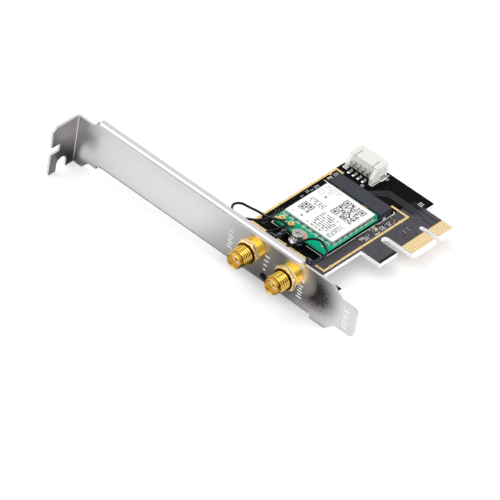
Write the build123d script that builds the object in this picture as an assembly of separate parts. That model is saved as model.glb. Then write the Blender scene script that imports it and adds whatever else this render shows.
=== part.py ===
from build123d import *
import math
import os

os.makedirs("parts", exist_ok=True)

# A wireless network card for a desktop computer: a black adapter board on a folded steel
# bracket, a plug-in radio module held by a socket and a screw, two antenna jacks in the
# bracket and the two thin coaxial leads between the jacks and the module. Millimetres.
# The pieces are drawn in the frame of the bracket: X runs from the outside of the screw
# tab to the end of the tongue, Y from the outer face of the bracket into the computer,
# and Z upwards, on the component side, from the outside of the lower folded lip.

# Bracket
sheet = 0.86
bracket_length = 120.02
flat_width = 18.42
overall_width = 21.59
flat_below_lip = 0.9
bend_inner = 0.35
tab_depth = 11.43
tab_width = 19.05
tab_corner = 1.3
lip_depth = 2.6
lip_height_span = 17.12
lip_low_start = 12.0
lip_low_end = 101.4
lip_high_start = 9.1
lip_high_end = 95.7
relief_low_width = 1.3
relief_low_depth = 1.6
relief_high_width = 1.9
relief_high_depth = 2.3
neck_low_length = 4.45
neck_high_length = 7.4
shoulder_low_x = 7.3
tongue_width = 11.35
tongue_low = 2.65
tongue_low_start = 112.5
tongue_high_start = 113.3
heel_low_x = 108.7
heel_high_x = 109.2
tongue_corner = 1.6
edge_notch_low = 4.2
edge_notch_height = 3.0
edge_notch_depth = 3.9
screw_slot_width = 4.6
screw_slot_depth = 4.9
screw_slot_inset = 5.8
ear_width = 8.0
ear_reach = 11.6
ear_corner = 1.5
ear_x = (67.0, 97.0)
ear_hole_y = 7.2
led_hole_radius = 1.55

# Adapter board
board_thickness = 1.57
board_gap = 0.44
board_back_x = 62.08
board_front_x = 94.45
board_far_y = 70.15
leg_end_x = 102.45
near_leg_far_y = 15.35
far_leg_near_y = 33.9
relief_slot_width = 3.2
key_y = 57.77
key_notch_width = 1.9
key_notch_depth = 8.25
finger_tip_x = 107.15
finger_near_span = 12.15
finger_far_span = 8.15
bevel_length = 1.3
bevel_height = 0.45
finger_corner = 1.1
board_corner = 0.4

# Edge contacts
contact_pitch = 1.0
contact_width = 0.7
contact_length = 4.4
contact_first = 1.5
near_contacts = 11
far_contacts = 7
plating = 0.05

# Gold guard line on the board
guard_width = 0.8
guard_near_y = 16.87
guard_far_y = 58.7
guard_front_x = 93.65
guard_via_inset = 3.9
guard_gap_low_x = 65.6
guard_gap_high_x = 86.2
via_radius = 0.3
via_pad_radius = 0.65

# Radio module
module_width = 22.0
module_length = 30.0
module_thickness = 0.8
module_lift = 1.5
module_x = 78.0
module_near_y = 21.5
module_tongue_width = 19.85
module_tongue_length = 3.6
module_corner = 0.4
module_notch_radius = 1.75
ring_pad_width = 0.9
key_notch_offset = 2.625
module_key_width = 1.2
module_key_depth = 3.4
shield_near = 4.7
shield_far = 4.1
shield_width = 20.5
shield_height = 1.3
shield_wall = 0.2
shield_corner = 0.5
shield_slot_height = 0.45
shield_slot_width = 1.0
shield_slots = 7
label_margin = 0.3
label_thickness = 0.1
label_corner = 0.6

# Coaxial receptacles on the module and the plugs on them
plug_centres = ((69.45, 23.5), (73.35, 23.4))
plug_headings = (25.5, 10.0)
receptacle_side = 2.0
receptacle_base = 0.3
receptacle_ring_radius = 0.75
receptacle_ring_wall = 0.2
receptacle_ring_height = 0.45
receptacle_post_radius = 0.15
plug_radius = 1.1
plug_height = 0.95
plug_wall = 0.3
plug_clearance = 0.03
plug_tail_length = 2.33
plug_tail_radius = 0.5
plug_tail_rise = 0.72

# Module socket
socket_end_wall = 0.975
socket_height = 3.2
socket_front_low = 3.9
socket_front_high = 2.5
socket_depth = 7.2
socket_slot_depth = 0.5
socket_clearance = 0.05
socket_rib_width = 1.0
socket_pitch = 0.5
socket_leads = 36
socket_lead_width = 0.22
socket_lead_length = 0.9
socket_lead_thickness = 0.15
hold_down_length = 1.6
hold_down_width = 0.8
hold_down_height = 1.1

# Standoff and its screw
standoff_flange_radius = 2.7
standoff_flange_height = 0.5
standoff_neck_radius = 2.0
standoff_boss_radius = 1.6
standoff_stem_radius = 1.2
screw_head_radius = 2.05
screw_head_height = 0.85
screw_shank_radius = 0.95
screw_clearance = 0.02
cross_length = 2.2
cross_width = 0.45
cross_depth = 0.5

# Screws that hold the board on the bracket's ears
ear_screw_radius = 1.25
ear_screw_head_radius = 2.35
ear_screw_head_height = 1.5
board_hole_radius = 1.6

# Side-entry header
header_pins = 4
header_pitch = 2.0
header_x = 69.35
header_width = 11.7
header_height = 5.57
header_rear_y = 63.0
header_mouth_y = 68.7
header_wall = 0.85
header_floor = 0.8
header_rear_wall = 1.3
cheek_rear_y = 61.1
cheek_width = 1.25
cheek_step_height = 2.0
header_slit_length = 4.0
header_slit_width = 0.5
header_slit_inset = 2.15
pin_side = 0.5
pin_height = 2.75
pin_inside = 4.0
pin_foot_length = 1.7
pin_knee = 1.2
pin_bend = 0.4
header_tab_length = 2.2
header_tab_width = 1.1
header_tab_thickness = 0.25

# Antenna jacks, along Y through the bracket
jack_x = (77.26, 92.96)
jack_z = 10.49
thread_radius = 3.175
thread_mean_radius = 2.95
thread_clearance = 0.03
bracket_hole_gap = 0.1
jack_reach = 9.5
lip_ring_length = 0.7
lip_ring_radius = 2.75
relief_groove_length = 0.5
relief_groove_radius = 2.6
mouth_radius = 2.3
mouth_depth = 2.4
jack_flange_length = 2.2
hex_across_flats = 8.0
neck_radius = 2.6
neck_length = 1.3
crimp_radius = 1.1
crimp_length = 3.6
insulator_radius = 2.3
centre_pin_radius = 0.45
centre_pin_setback = 0.4
nut_length = 2.0
nut_collar_length = 1.6
nut_collar_radius = 3.9
nut_turns = (-7.0, -29.0)
nut_chamfer = 0.35
washer_thickness = 0.5
washer_radius = 4.9
washer_teeth = 10
tooth_depth = 0.7
tooth_width = 1.0
ferrule_wall = 0.35
ferrule_gap = 0.02
sleeve_wall = 0.3
sleeve_taper = 1.2
sleeve_radius = 0.78
sleeve_knee_y = 12.0
sleeve_knee_radius = 4.0

# Coaxial leads
lead_radius = 0.405
lead_1_sleeve_end = (77.3, 15.4, 9.35)
lead_2_sleeve_end = (93.1, 15.6, 8.85)
lead_1_points = [
    (77.0, 17.7, 9.35), (74.8, 18.9, 8.69), (71.39, 19.13, 8.17), (68.15, 17.88, 7.25),
    (64.43, 17.36, 7.72), (61.25, 16.3, 7.99), (58.5, 15.26, 8.69), (57.44, 11.99, 9.19),
    (59.77, 9.78, 7.87), (62.02, 10.23, 7.14), (63.49, 13.21, 6.38), (65.97, 16.46, 5.45),
    (67.4, 19.26, 5.43),
]
lead_2_points = [
    (92.7, 18.46, 8.85), (90.08, 20.64, 8.07), (86.23, 22.39, 8.0), (83.04, 20.55, 7.3),
    (82.07, 17.27, 6.64), (80.62, 14.18, 5.94), (77.79, 12.18, 5.28), (74.36, 11.28, 4.71),
    (71.5, 11.95, 4.51), (70.39, 14.02, 4.7), (71.35, 16.43, 4.97), (72.58, 18.81, 5.3),
]

# Link light and the small parts on the board
led_x = 82.95
led_width = 2.8
led_depth = 1.2
led_height = 1.3
led_lens_radius = 0.5
terminal_share = 0.22
board_capacitors = [
    # centre x, centre y, length, width, height, along X or Y
    (90.7, 44.5, 2.0, 1.25, 1.2, "X"),
    (64.6, 52.4, 1.6, 0.8, 0.8, "Y"),
    (91.1, 37.6, 1.6, 0.8, 0.8, "Y"),
]
board_resistors = [
    (90.8, 49.2, 1.0, 0.5, 0.4, "X"),
    (90.8, 41.2, 1.0, 0.5, 0.4, "X"),
    (64.7, 43.7, 1.0, 0.5, 0.4, "Y"),
    (64.7, 38.9, 1.0, 0.5, 0.4, "Y"),
    (97.4, 51.6, 1.0, 0.5, 0.4, "X"),
    (97.4, 53.6, 1.0, 0.5, 0.4, "X"),
]
module_parts = [
    # distance from the module's left edge, length along it, width, height
    (2.6, 1.0, 0.5, 0.5), (4.6, 1.6, 0.8, 0.7), (7.0, 1.0, 0.5, 0.5), (9.0, 1.0, 0.5, 0.5),
    (11.0, 1.0, 0.5, 0.4), (13.2, 1.0, 0.5, 0.4), (15.4, 1.6, 0.8, 0.7), (17.8, 1.0, 0.5, 0.5),
]

# Values that follow from the ones above
flat_low = -flat_below_lip
flat_high = flat_low + flat_width
tab_low = flat_high - overall_width
tab_high = tab_low + tab_width
bend_outer = bend_inner + sheet
tongue_high = tongue_low + tongue_width
board_near_y = sheet + board_gap
board_low = sheet
board_top = board_low + board_thickness
slot_far_y = key_y - finger_near_span
slot_near_y = slot_far_y - relief_slot_width
contact_start_x = finger_tip_x - bevel_length - contact_length
module_low = board_top + module_lift
module_top = module_low + module_thickness
module_far_y = module_near_y + module_length
module_left_x = module_x - module_width / 2
shield_y = module_near_y + shield_near
shield_length = module_length - shield_near - shield_far
shield_top = module_top + shield_height
socket_width = module_tongue_width + 2 * (socket_clearance + socket_end_wall)
socket_front_y = module_far_y - socket_front_low
socket_roof_y = module_far_y - socket_front_high
socket_back_y = socket_front_y + socket_depth
header_low = board_top
header_top = board_top + header_height
pin_z = header_low + pin_height
nut_front_y = -nut_collar_length - nut_length
washer_back_y = sheet + washer_thickness
flange_back_y = washer_back_y + jack_flange_length
neck_back_y = flange_back_y + neck_length
crimp_end_y = neck_back_y + crimp_length
hole_radius = thread_radius + bracket_hole_gap
lead_height = module_top + plug_tail_rise
led_z = board_top + 0.1

# The finished part stands with the centre of its base at the origin.
to_origin = Pos(-bracket_length / 2, (tab_depth - board_far_y) / 2, -tab_low)


def block(x_span, y_span, z_span):
    """Box between three pairs of limits."""
    size = [b - a for a, b in (x_span, y_span, z_span)]
    middle = [(a + b) / 2 for a, b in (x_span, y_span, z_span)]
    return Pos(*middle) * Box(*size)


def flat_rect(x_span, y_span):
    """Rectangle in the XY plane between two pairs of limits."""
    centre = ((x_span[0] + x_span[1]) / 2, (y_span[0] + y_span[1]) / 2)
    return Pos(*centre) * Rectangle(x_span[1] - x_span[0], y_span[1] - y_span[0])


def along_y(radius, y_from, y_to, x, z):
    """Cylinder along Y between two places."""
    upright = Cylinder(radius, y_to - y_from, align=(Align.CENTER, Align.CENTER, Align.MIN))
    return Pos(x, y_from, z) * Rot(-90, 0, 0) * upright


def upright_disc(radius, z_from, z_to, x, y):
    """Cylinder along Z between two heights."""
    return Pos(x, y, z_from) * Cylinder(radius, z_to - z_from, align=(Align.CENTER, Align.CENTER, Align.MIN))


def prism_x(points, x_from, x_to):
    """Prism along X whose profile is given as points in Y and Z."""
    profile = Plane.YZ * Polygon(*points, align=None)
    return Pos(x_from, 0, 0) * extrude(profile, x_to - x_from, dir=(1, 0, 0))


def prism_y(points, y_from, y_to):
    """Prism along Y whose profile is given as points in X and Z."""
    profile = Plane.XZ * Polygon(*points, align=None)
    return Pos(0, y_from, 0) * extrude(profile, y_to - y_from, dir=(0, 1, 0))


def near_value(value, target):
    """True when two lengths agree to a hundredth of a millimetre."""
    return abs(value - target) < 0.01


def save(shape, name):
    """Move a piece into the finished part's frame and write it."""
    export_step(to_origin * shape, f"parts/{name}.step")


def folded_lip(x_span, z_face, upwards):
    """Lip folded back from the bracket's long edge: an L profile with a bend, carried along X."""
    leg = bend_outer + 0.6
    outline = Polygon((0, leg), (0, 0), (lip_depth, 0), (lip_depth, sheet), (sheet, sheet), (sheet, leg), align=None)
    outline = fillet(outline.vertices().filter_by(lambda v: v.X == 0 and v.Y == 0), bend_outer)
    inner = outline.vertices().filter_by(lambda v: near_value(v.X, sheet) and near_value(v.Y, sheet))
    outline = fillet(inner, bend_inner)
    lip = extrude(Plane.YZ * outline, x_span[1] - x_span[0])
    if not upwards:
        lip = mirror(lip, Plane.XY)
    return Pos(x_span[0], 0, z_face) * lip


def bracket_plate():
    """Flat outline of the bracket: neck, body and tongue."""
    outline = Polygon(
        (0, tab_low), (neck_low_length, tab_low), (shoulder_low_x, flat_low), (heel_low_x, flat_low),
        (tongue_low_start, tongue_low), (bracket_length, tongue_low), (bracket_length, tongue_high),
        (tongue_high_start, tongue_high), (heel_high_x, flat_high), (lip_high_start, flat_high),
        (neck_high_length, tab_high), (0, tab_high), align=None)
    tips = outline.vertices().filter_by(lambda v: near_value(v.X, bracket_length))
    outline = fillet(tips, tongue_corner)
    plate = extrude(Plane.XZ * outline, -sheet)
    leg = bend_outer + 0.5
    plate -= block((lip_low_start, lip_low_end), (-1, sheet + 1), (flat_low - 1, leg))
    plate -= block((lip_high_start, lip_high_end), (-1, sheet + 1), (lip_height_span - leg, flat_high + 1))
    return plate


def relief(x_from, width, z_edge, depth):
    """Round-ended relief cut beside the end of a lip; a negative depth cuts downwards."""
    radius = width / 2
    sign = math.copysign(1, depth)
    z_round = z_edge + depth - sign * radius
    z_span = sorted((z_edge - sign, z_round))
    slot = block((x_from, x_from + width), (-1, sheet + 1), z_span)
    return slot + along_y(radius, -1, sheet + 1, x_from + radius, z_round)


def screw_tab():
    """Tab at right angles to the plate, with its edge notch and the slot for the case screw."""
    outline = Polygon((-tab_depth, tab_low), (sheet, tab_low), (sheet, tab_high), (-tab_depth, tab_high), align=None)
    top_corner = outline.vertices().filter_by(lambda v: v.X < 0 and v.Y > 0)
    outline = chamfer(top_corner, tab_corner)
    notch_top = edge_notch_low + edge_notch_height
    outline -= flat_rect((-tab_depth - 1, -tab_depth + edge_notch_depth), (edge_notch_low, notch_top))
    radius = screw_slot_width / 2
    round_z = tab_low + screw_slot_depth - radius
    slot = flat_rect((-screw_slot_inset - radius, -screw_slot_inset + radius), (tab_low - 1, round_z))
    outline -= slot + Pos(-screw_slot_inset, round_z) * Circle(radius)
    return extrude(Plane.YZ * outline, sheet)


def bracket_ear(x):
    """Ear that carries the board: the lower lip carried on, with a tapped hole."""
    half = ear_width / 2
    ear = block((x - half, x + half), (lip_depth - 0.1, ear_reach), (0, sheet))
    ends = ear.edges().filter_by(Axis.Z).filter_by(lambda e: near_value(e.center().Y, ear_reach))
    ear = fillet(ends, ear_corner)
    return ear - upright_disc(ear_screw_radius + screw_clearance, -1, sheet + 1, x, ear_hole_y)


def mounting_bracket():
    bracket = bracket_plate() + screw_tab()
    outside = bracket.edges().filter_by(Axis.Z).filter_by(
        lambda e: near_value(e.center().X, 0) and near_value(e.center().Y, sheet))
    bracket = fillet(outside, bend_outer)
    inside = bracket.edges().filter_by(Axis.Z).filter_by(
        lambda e: near_value(e.center().X, sheet) and near_value(e.center().Y, 0))
    bracket = fillet(inside, bend_inner)
    bracket += folded_lip((lip_low_start, lip_low_end), 0, True)
    bracket += folded_lip((lip_high_start, lip_high_end), lip_height_span, False)
    for x in ear_x:
        bracket += bracket_ear(x)
    bracket -= relief(lip_low_start - relief_low_width, relief_low_width, flat_low, relief_low_depth)
    bracket -= relief(lip_low_end, relief_low_width, flat_low, relief_low_depth)
    bracket -= relief(lip_high_end, relief_high_width, flat_high, -relief_high_depth)
    for x in jack_x:
        bracket -= along_y(hole_radius, -1, sheet + 1, x, jack_z)
    bracket -= along_y(led_hole_radius, -1, sheet + 1, led_x, led_z)
    return bracket


def guard_via_places():
    """Centres of the four plated holes on the guard line."""
    y_places = (guard_near_y + guard_via_inset, guard_far_y - guard_via_inset)
    x_places = (board_back_x + guard_width / 2 + via_pad_radius / 3, guard_front_x - guard_width / 2)
    return [(x, y) for x in x_places for y in y_places]


def board_outline():
    """Outline of the adapter board: body, two legs, and the contact edge between its slots."""
    outline = flat_rect((board_back_x, board_front_x), (board_near_y, board_far_y))
    outline += flat_rect((board_front_x - 1, leg_end_x), (board_near_y, near_leg_far_y))
    outline += flat_rect((board_front_x - 1, leg_end_x), (far_leg_near_y, slot_near_y))
    slot_radius = relief_slot_width / 2
    slot_round_x = board_front_x + 0.15 + slot_radius
    outline += flat_rect((board_front_x - 1, slot_round_x), (slot_near_y - 0.1, slot_far_y + 0.1))
    edge = flat_rect((board_front_x - 1, finger_tip_x), (slot_far_y, key_y + finger_far_span))
    edge = chamfer(edge.vertices().group_by(Axis.X)[-1], finger_corner)
    outline += edge
    outline -= Pos(slot_round_x, slot_near_y + slot_radius) * Circle(slot_radius)
    notch_radius = key_notch_width / 2
    notch_round_x = finger_tip_x - key_notch_depth + notch_radius
    notch = flat_rect((notch_round_x, finger_tip_x + 1), (key_y - notch_radius, key_y + notch_radius))
    outline -= notch + Pos(notch_round_x, key_y) * Circle(notch_radius)
    return outline


def finger_bevel(z_face, downwards):
    """Wedge that bevels one face of the contact edge."""
    drop = -bevel_height if downwards else bevel_height
    heel = (finger_tip_x - bevel_length, z_face)
    beyond = finger_tip_x + bevel_length
    return prism_y([heel, (beyond, z_face), (beyond, z_face + 2 * drop)], 0, board_far_y)


def adapter_board():
    board = Pos(0, 0, board_low) * extrude(board_outline(), board_thickness)
    board -= finger_bevel(board_top, True)
    board -= finger_bevel(board_low, False)
    for x, y in guard_via_places():
        board -= upright_disc(via_radius, board_low - 1, board_top + 1, x, y)
    for x in ear_x:
        board -= upright_disc(board_hole_radius, board_low - 1, board_top + 1, x, ear_hole_y)
    board -= upright_disc(standoff_stem_radius + screw_clearance, board_low - 1, board_top + 1, module_x, module_near_y)
    return board


def contact_row(z_span):
    """Eighteen gold contacts on one face of the board, either side of the key notch."""
    near_y = [key_y - contact_first - i * contact_pitch for i in range(near_contacts)]
    far_y = [key_y + contact_first + i * contact_pitch for i in range(far_contacts)]
    half = contact_width / 2
    x_span = (contact_start_x, contact_start_x + contact_length)
    return Compound([block(x_span, (y - half, y + half), z_span) for y in sorted(near_y + far_y)])


def guard_line():
    """Bare gold line round the module's place, flush with the board's back edge, open behind the socket."""
    x_span = (board_back_x, guard_front_x)
    y_span = (guard_near_y, guard_far_y)
    inner_x = (x_span[0] + guard_width, x_span[1] - guard_width)
    inner_y = (y_span[0] + guard_width, y_span[1] - guard_width)
    line = flat_rect(x_span, y_span) - flat_rect(inner_x, inner_y)
    for x, y in guard_via_places():
        line += Pos(x, y) * Circle(via_pad_radius)
    line &= flat_rect((board_back_x, board_front_x), (board_near_y, board_far_y))
    line -= flat_rect((guard_gap_low_x, guard_gap_high_x), (inner_y[1] - 1, guard_far_y + 1))
    for x, y in guard_via_places():
        line -= Pos(x, y) * Circle(via_radius)
    return Pos(0, 0, board_top) * extrude(line, plating)


def module_outline():
    """Outline of the module: body, narrower tongue, key notch and the half hole for the screw."""
    half = module_width / 2
    shoulder_y = module_far_y - module_tongue_length
    body = flat_rect((module_x - half, module_x + half), (module_near_y, shoulder_y))
    body = fillet(body.vertices(), module_corner)
    half_tongue = module_tongue_width / 2
    outline = body + flat_rect((module_x - half_tongue, module_x + half_tongue), (shoulder_y - 1, module_far_y))
    key_x = module_x + key_notch_offset
    key_radius = module_key_width / 2
    key_round_y = module_far_y - module_key_depth + key_radius
    outline -= flat_rect((key_x - key_radius, key_x + key_radius), (key_round_y, module_far_y + 1))
    outline -= Pos(key_x, key_round_y) * Circle(key_radius)
    return outline - Pos(module_x, module_near_y) * Circle(module_notch_radius)


def module_board():
    return Pos(0, 0, module_low) * extrude(module_outline(), module_thickness)


def module_ring_pad():
    """Copper half ring round the module's screw notch."""
    ring = Pos(module_x, module_near_y) * Circle(module_notch_radius + ring_pad_width)
    ring &= flat_rect((module_left_x, module_left_x + module_width), (module_near_y, module_far_y))
    ring -= Pos(module_x, module_near_y) * Circle(module_notch_radius)
    return Pos(0, 0, module_top) * extrude(ring, plating)


def shield_sketch(margin):
    """Rounded outline of the shield, drawn in by a margin."""
    half = shield_width / 2 - margin
    y_span = (shield_y + margin, shield_y + shield_length - margin)
    rect = flat_rect((module_x - half, module_x + half), y_span)
    return fillet(rect.vertices(), max(shield_corner - margin / 2, 0.1))


def module_shield():
    """Thin metal can over the module's chips, open below, with slots along its walls."""
    can = extrude(shield_sketch(0), shield_height) - extrude(shield_sketch(shield_wall), shield_height - shield_wall)
    slot_z = (0.25, 0.25 + shield_slot_height)
    pitch_x = shield_width / (shield_slots + 1)
    pitch_y = shield_length / (shield_slots + 1)
    half = shield_slot_width / 2
    for i in range(1, shield_slots + 1):
        x = module_x - shield_width / 2 + i * pitch_x
        y = shield_y + i * pitch_y
        can -= block((x - half, x + half), (shield_y - 1, shield_y + shield_length + 1), slot_z)
        can -= block((module_x - shield_width, module_x + shield_width), (y - half, y + half), slot_z)
    return Pos(0, 0, module_top) * can


def module_label():
    """Paper label on the shield."""
    half = shield_width / 2 - label_margin
    y_span = (shield_y + label_margin, shield_y + shield_length - label_margin)
    rect = flat_rect((module_x - half, module_x + half), y_span)
    rect = fillet(rect.vertices(), label_corner)
    return Pos(0, 0, shield_top) * extrude(rect, label_thickness)


def module_small_parts():
    """Row of small chips midway between the shield and the socket's roof."""
    row_y = (shield_y + shield_length + socket_roof_y) / 2
    row = []
    for start, length, width, height in module_parts:
        x_span = (module_left_x + start, module_left_x + start + length)
        row.append(block(x_span, (row_y - width / 2, row_y + width / 2), (module_top, module_top + height)))
    return Compound(row)


def receptacle(centre):
    """Coaxial receptacle: square base, ring and centre post."""
    x, y = centre
    half = receptacle_side / 2
    base_top = module_top + receptacle_base
    ring_top = base_top + receptacle_ring_height
    piece = block((x - half, x + half), (y - half, y + half), (module_top, base_top))
    piece += upright_disc(receptacle_ring_radius, base_top, ring_top, x, y)
    piece -= upright_disc(receptacle_ring_radius - receptacle_ring_wall, base_top, ring_top + 1, x, y)
    return piece + upright_disc(receptacle_post_radius, base_top, ring_top, x, y)


def tail_direction(heading):
    """Unit vector along a plug's tail, turned from -Y towards -X by the heading."""
    turn = math.radians(heading)
    return (-math.sin(turn), -math.cos(turn))


def tail_end(centre, heading):
    """Point where the lead meets the plug's tail."""
    dx, dy = tail_direction(heading)
    return (centre[0] + plug_tail_length * dx, centre[1] + plug_tail_length * dy, lead_height)


def coaxial_plug(centre, heading):
    """Snap-on plug: a cap over the receptacle's ring and a crimped tail."""
    x, y = centre
    low = module_top + receptacle_base + plug_clearance
    cap = upright_disc(plug_radius, low, low + plug_height, x, y)
    edge = cap.edges().group_by(Axis.Z)[-1]
    cap = chamfer(edge, 0.12)
    tail = along_y(plug_tail_radius, -plug_tail_length, -plug_radius / 2, 0, lead_height)
    waist = block((-plug_tail_radius, plug_tail_radius), (-plug_radius - 0.3, 0), (low, low + plug_height - 0.2))
    tail = Pos(x, y, 0) * Rot(0, 0, -heading) * (tail + waist)
    hollow_radius = receptacle_ring_radius + plug_clearance
    hollow_top = low + receptacle_ring_height + plug_clearance
    return cap + tail - upright_disc(hollow_radius, low - 1, hollow_top, x, y)


def socket_housing():
    """Edge socket: long lower jaw, shorter roof, closed ends and a key rib in the slot."""
    slot_low = module_low - socket_clearance
    slot_high = module_top + socket_clearance
    slot_back = module_far_y + socket_slot_depth
    profile = [
        (socket_front_y, board_top), (socket_front_y, slot_low), (slot_back, slot_low), (slot_back, slot_high),
        (socket_roof_y, slot_high), (socket_roof_y, board_top + socket_height),
        (socket_back_y, board_top + socket_height), (socket_back_y, board_top)]
    left = module_x - socket_width / 2
    housing = prism_x(profile, left, left + socket_width)
    roof = (slot_low, board_top + socket_height)
    for x in (left, left + socket_width - socket_end_wall):
        housing += block((x, x + socket_end_wall), (socket_roof_y, slot_back), roof)
    key_x = module_x + key_notch_offset
    rib = socket_rib_width / 2
    housing += block((key_x - rib, key_x + rib), (socket_roof_y, slot_back), (slot_low - 0.1, slot_high + 0.1))
    top_edges = housing.edges().filter_by(Axis.X).group_by(Axis.Z)[-1]
    return chamfer(top_edges, 0.2)


def socket_lead_places():
    """X places of the socket's leads, leaving out those at the key."""
    first = module_x - (socket_leads - 1) * socket_pitch / 2
    places = [first + i * socket_pitch for i in range(socket_leads)]
    key_x = module_x + key_notch_offset
    return [x for x in places if abs(x - key_x) > socket_rib_width]


def socket_contacts():
    """Solder leads behind the socket's back and under its front."""
    half = socket_lead_width / 2
    foot_z = (board_top, board_top + socket_lead_thickness)
    rise_z = (board_top, board_top + 4 * socket_lead_thickness)
    leads = []
    for x in socket_lead_places():
        x_span = (x - half, x + half)
        back = block(x_span, (socket_back_y, socket_back_y + socket_lead_length), foot_z)
        back += block(x_span, (socket_back_y, socket_back_y + socket_lead_thickness), rise_z)
        leads.append(back)
        leads.append(block(x_span, (socket_front_y - socket_lead_length, socket_front_y), foot_z))
    return Compound(leads)


def socket_hold_downs():
    """Tinned tabs that solder the two ends of the socket to the board."""
    tabs = []
    middle = (socket_front_y + socket_back_y) / 2
    y_span = (middle - hold_down_length / 2, middle + hold_down_length / 2)
    for side in (-1, 1):
        wall_x = module_x + side * socket_width / 2
        foot_x = sorted((wall_x, wall_x + side * hold_down_width))
        plate_x = sorted((wall_x, wall_x + side * header_tab_thickness))
        tab = block(foot_x, y_span, (board_top, board_top + header_tab_thickness))
        tabs.append(tab + block(plate_x, y_span, (board_top, board_top + hold_down_height)))
    return Compound(tabs)


def standoff():
    """Soldered nut that carries the module's end: flange, neck, boss and stem."""
    flange_top = board_top + standoff_flange_height
    post = upright_disc(standoff_flange_radius, board_top, flange_top, module_x, module_near_y)
    post = chamfer(post.edges().group_by(Axis.Z)[-1], 0.15)
    post += upright_disc(standoff_neck_radius, flange_top, module_low, module_x, module_near_y)
    post += upright_disc(standoff_boss_radius, module_low, module_top - 0.05, module_x, module_near_y)
    post += upright_disc(standoff_stem_radius, board_low + 0.2, board_top, module_x, module_near_y)
    bore = screw_shank_radius + screw_clearance
    return post - upright_disc(bore, board_low, module_top + 1, module_x, module_near_y)


def pan_screw(x, y, seat_z, head_radius, head_height, shank_radius, shank_end_z):
    """Pan-head screw standing on its seat, with a cross recess."""
    head_top = seat_z + head_height
    head = upright_disc(head_radius, seat_z, head_top, x, y)
    head = fillet(head.edges().group_by(Axis.Z)[-1], head_height * 0.45)
    reach = cross_length / 2
    half = cross_width / 2
    floor_z = head_top - cross_depth
    head -= block((x - reach, x + reach), (y - half, y + half), (floor_z, head_top + 1))
    head -= block((x - half, x + half), (y - reach, y + reach), (floor_z, head_top + 1))
    return head + upright_disc(shank_radius, shank_end_z, seat_z, x, y)


def module_screw():
    screw = pan_screw(0, 0, module_top + plating, screw_head_radius, screw_head_height,
                      screw_shank_radius, board_low + 0.5)
    return Pos(module_x, module_near_y, 0) * Rot(0, 0, 20) * screw


def ear_screws():
    """The two screws through the board into the bracket's ears."""
    screws = [
        pan_screw(x, ear_hole_y, board_top, ear_screw_head_radius, ear_screw_head_height, ear_screw_radius, 0.1)
        for x in ear_x]
    return Compound(screws)


def header_pin_places():
    first = header_x - (header_pins - 1) * header_pitch / 2
    return [first + i * header_pitch for i in range(header_pins)]


def header_housing():
    """White shroud open to +Y, with a buttress at each rear corner and two slits in its roof."""
    left = header_x - header_width / 2
    right = left + header_width
    housing = block((left, right), (header_rear_y, header_mouth_y), (header_low, header_top))
    cavity_y = (header_rear_y + header_rear_wall, header_mouth_y + 1)
    cavity_z = (header_low + header_floor, header_top - header_wall)
    housing -= block((left + header_wall, right - header_wall), cavity_y, cavity_z)
    cheek = [
        (cheek_rear_y, header_low), (header_rear_y + 0.1, header_low), (header_rear_y + 0.1, header_top - 0.6),
        (header_rear_y, header_top - 0.6), (cheek_rear_y + 0.9, header_low + cheek_step_height + 1.6),
        (cheek_rear_y, header_low + cheek_step_height)]
    for x in (left, right - cheek_width):
        housing += prism_x(cheek, x, x + cheek_width)
    slit_y = (header_rear_y - 0.2, header_rear_y - 0.2 + header_slit_length)
    for x in (left + header_slit_inset, right - header_slit_inset):
        half = header_slit_width / 2
        housing -= block((x - half, x + half), slit_y, (header_top - header_wall - 0.2, header_top + 1))
    for side in (-1, 1):
        wall_x = header_x + side * header_width / 2
        pocket_x = sorted((wall_x - side * 0.35, wall_x + side))
        housing -= block(pocket_x, (header_rear_y + 1.6, header_mouth_y - 1.4), (header_low + 1.4, header_top - 1.5))
    for x in header_pin_places():
        housing -= block((x - 0.27, x + 0.27), (header_rear_y - 1, cavity_y[0] + 1), (pin_z - 0.27, pin_z + 0.27))
    return housing


def header_pin(x):
    """One pin: straight in the shroud, then bent down and out to its foot on the board."""
    low = board_top + pin_side / 2
    knee_y = header_rear_y - pin_knee
    toe_y = knee_y - pin_foot_length
    path = FilletPolyline(
        (x, header_rear_y + pin_inside, pin_z), (x, knee_y + 0.35, pin_z),
        (x, knee_y - 0.25, low), (x, toe_y, low), radius=pin_bend)
    section = Plane(origin=path @ 0, z_dir=path % 0) * Rectangle(pin_side, pin_side)
    return sweep(section, path=path)


def header_contacts():
    return Compound([header_pin(x) for x in header_pin_places()])


def header_solder_tabs():
    """Tinned tabs at the two sides of the header."""
    tabs = []
    y_low = header_rear_y + 2.2
    y_span = (y_low, y_low + header_tab_length)
    for side in (-1, 1):
        wall_x = header_x + side * header_width / 2
        foot_x = sorted((wall_x, wall_x + side * header_tab_width))
        plate_x = sorted((wall_x, wall_x + side * header_tab_thickness))
        tab = block(foot_x, y_span, (board_top, board_top + header_tab_thickness))
        tabs.append(tab + block(plate_x, y_span, (board_top, board_top + 1.3)))
    return Compound(tabs)


def hexagon(across_flats, y_from, y_to, x, z, turn):
    """Hexagonal prism along Y with its corners turned off at both ends."""
    outline = RegularPolygon(across_flats / 2, 6, major_radius=False)
    prism = extrude(outline, y_to - y_from)
    corner_radius = across_flats / math.sqrt(3)
    chamfered = Cylinder(corner_radius, y_to - y_from, align=(Align.CENTER, Align.CENTER, Align.MIN))
    rims = chamfered.edges().filter_by(GeomType.CIRCLE)
    chamfered = chamfer(rims, nut_chamfer)
    return Pos(x, y_from, z) * Rot(-90, 0, 0) * Rot(0, 0, turn) * (prism & chamfered)


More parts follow.
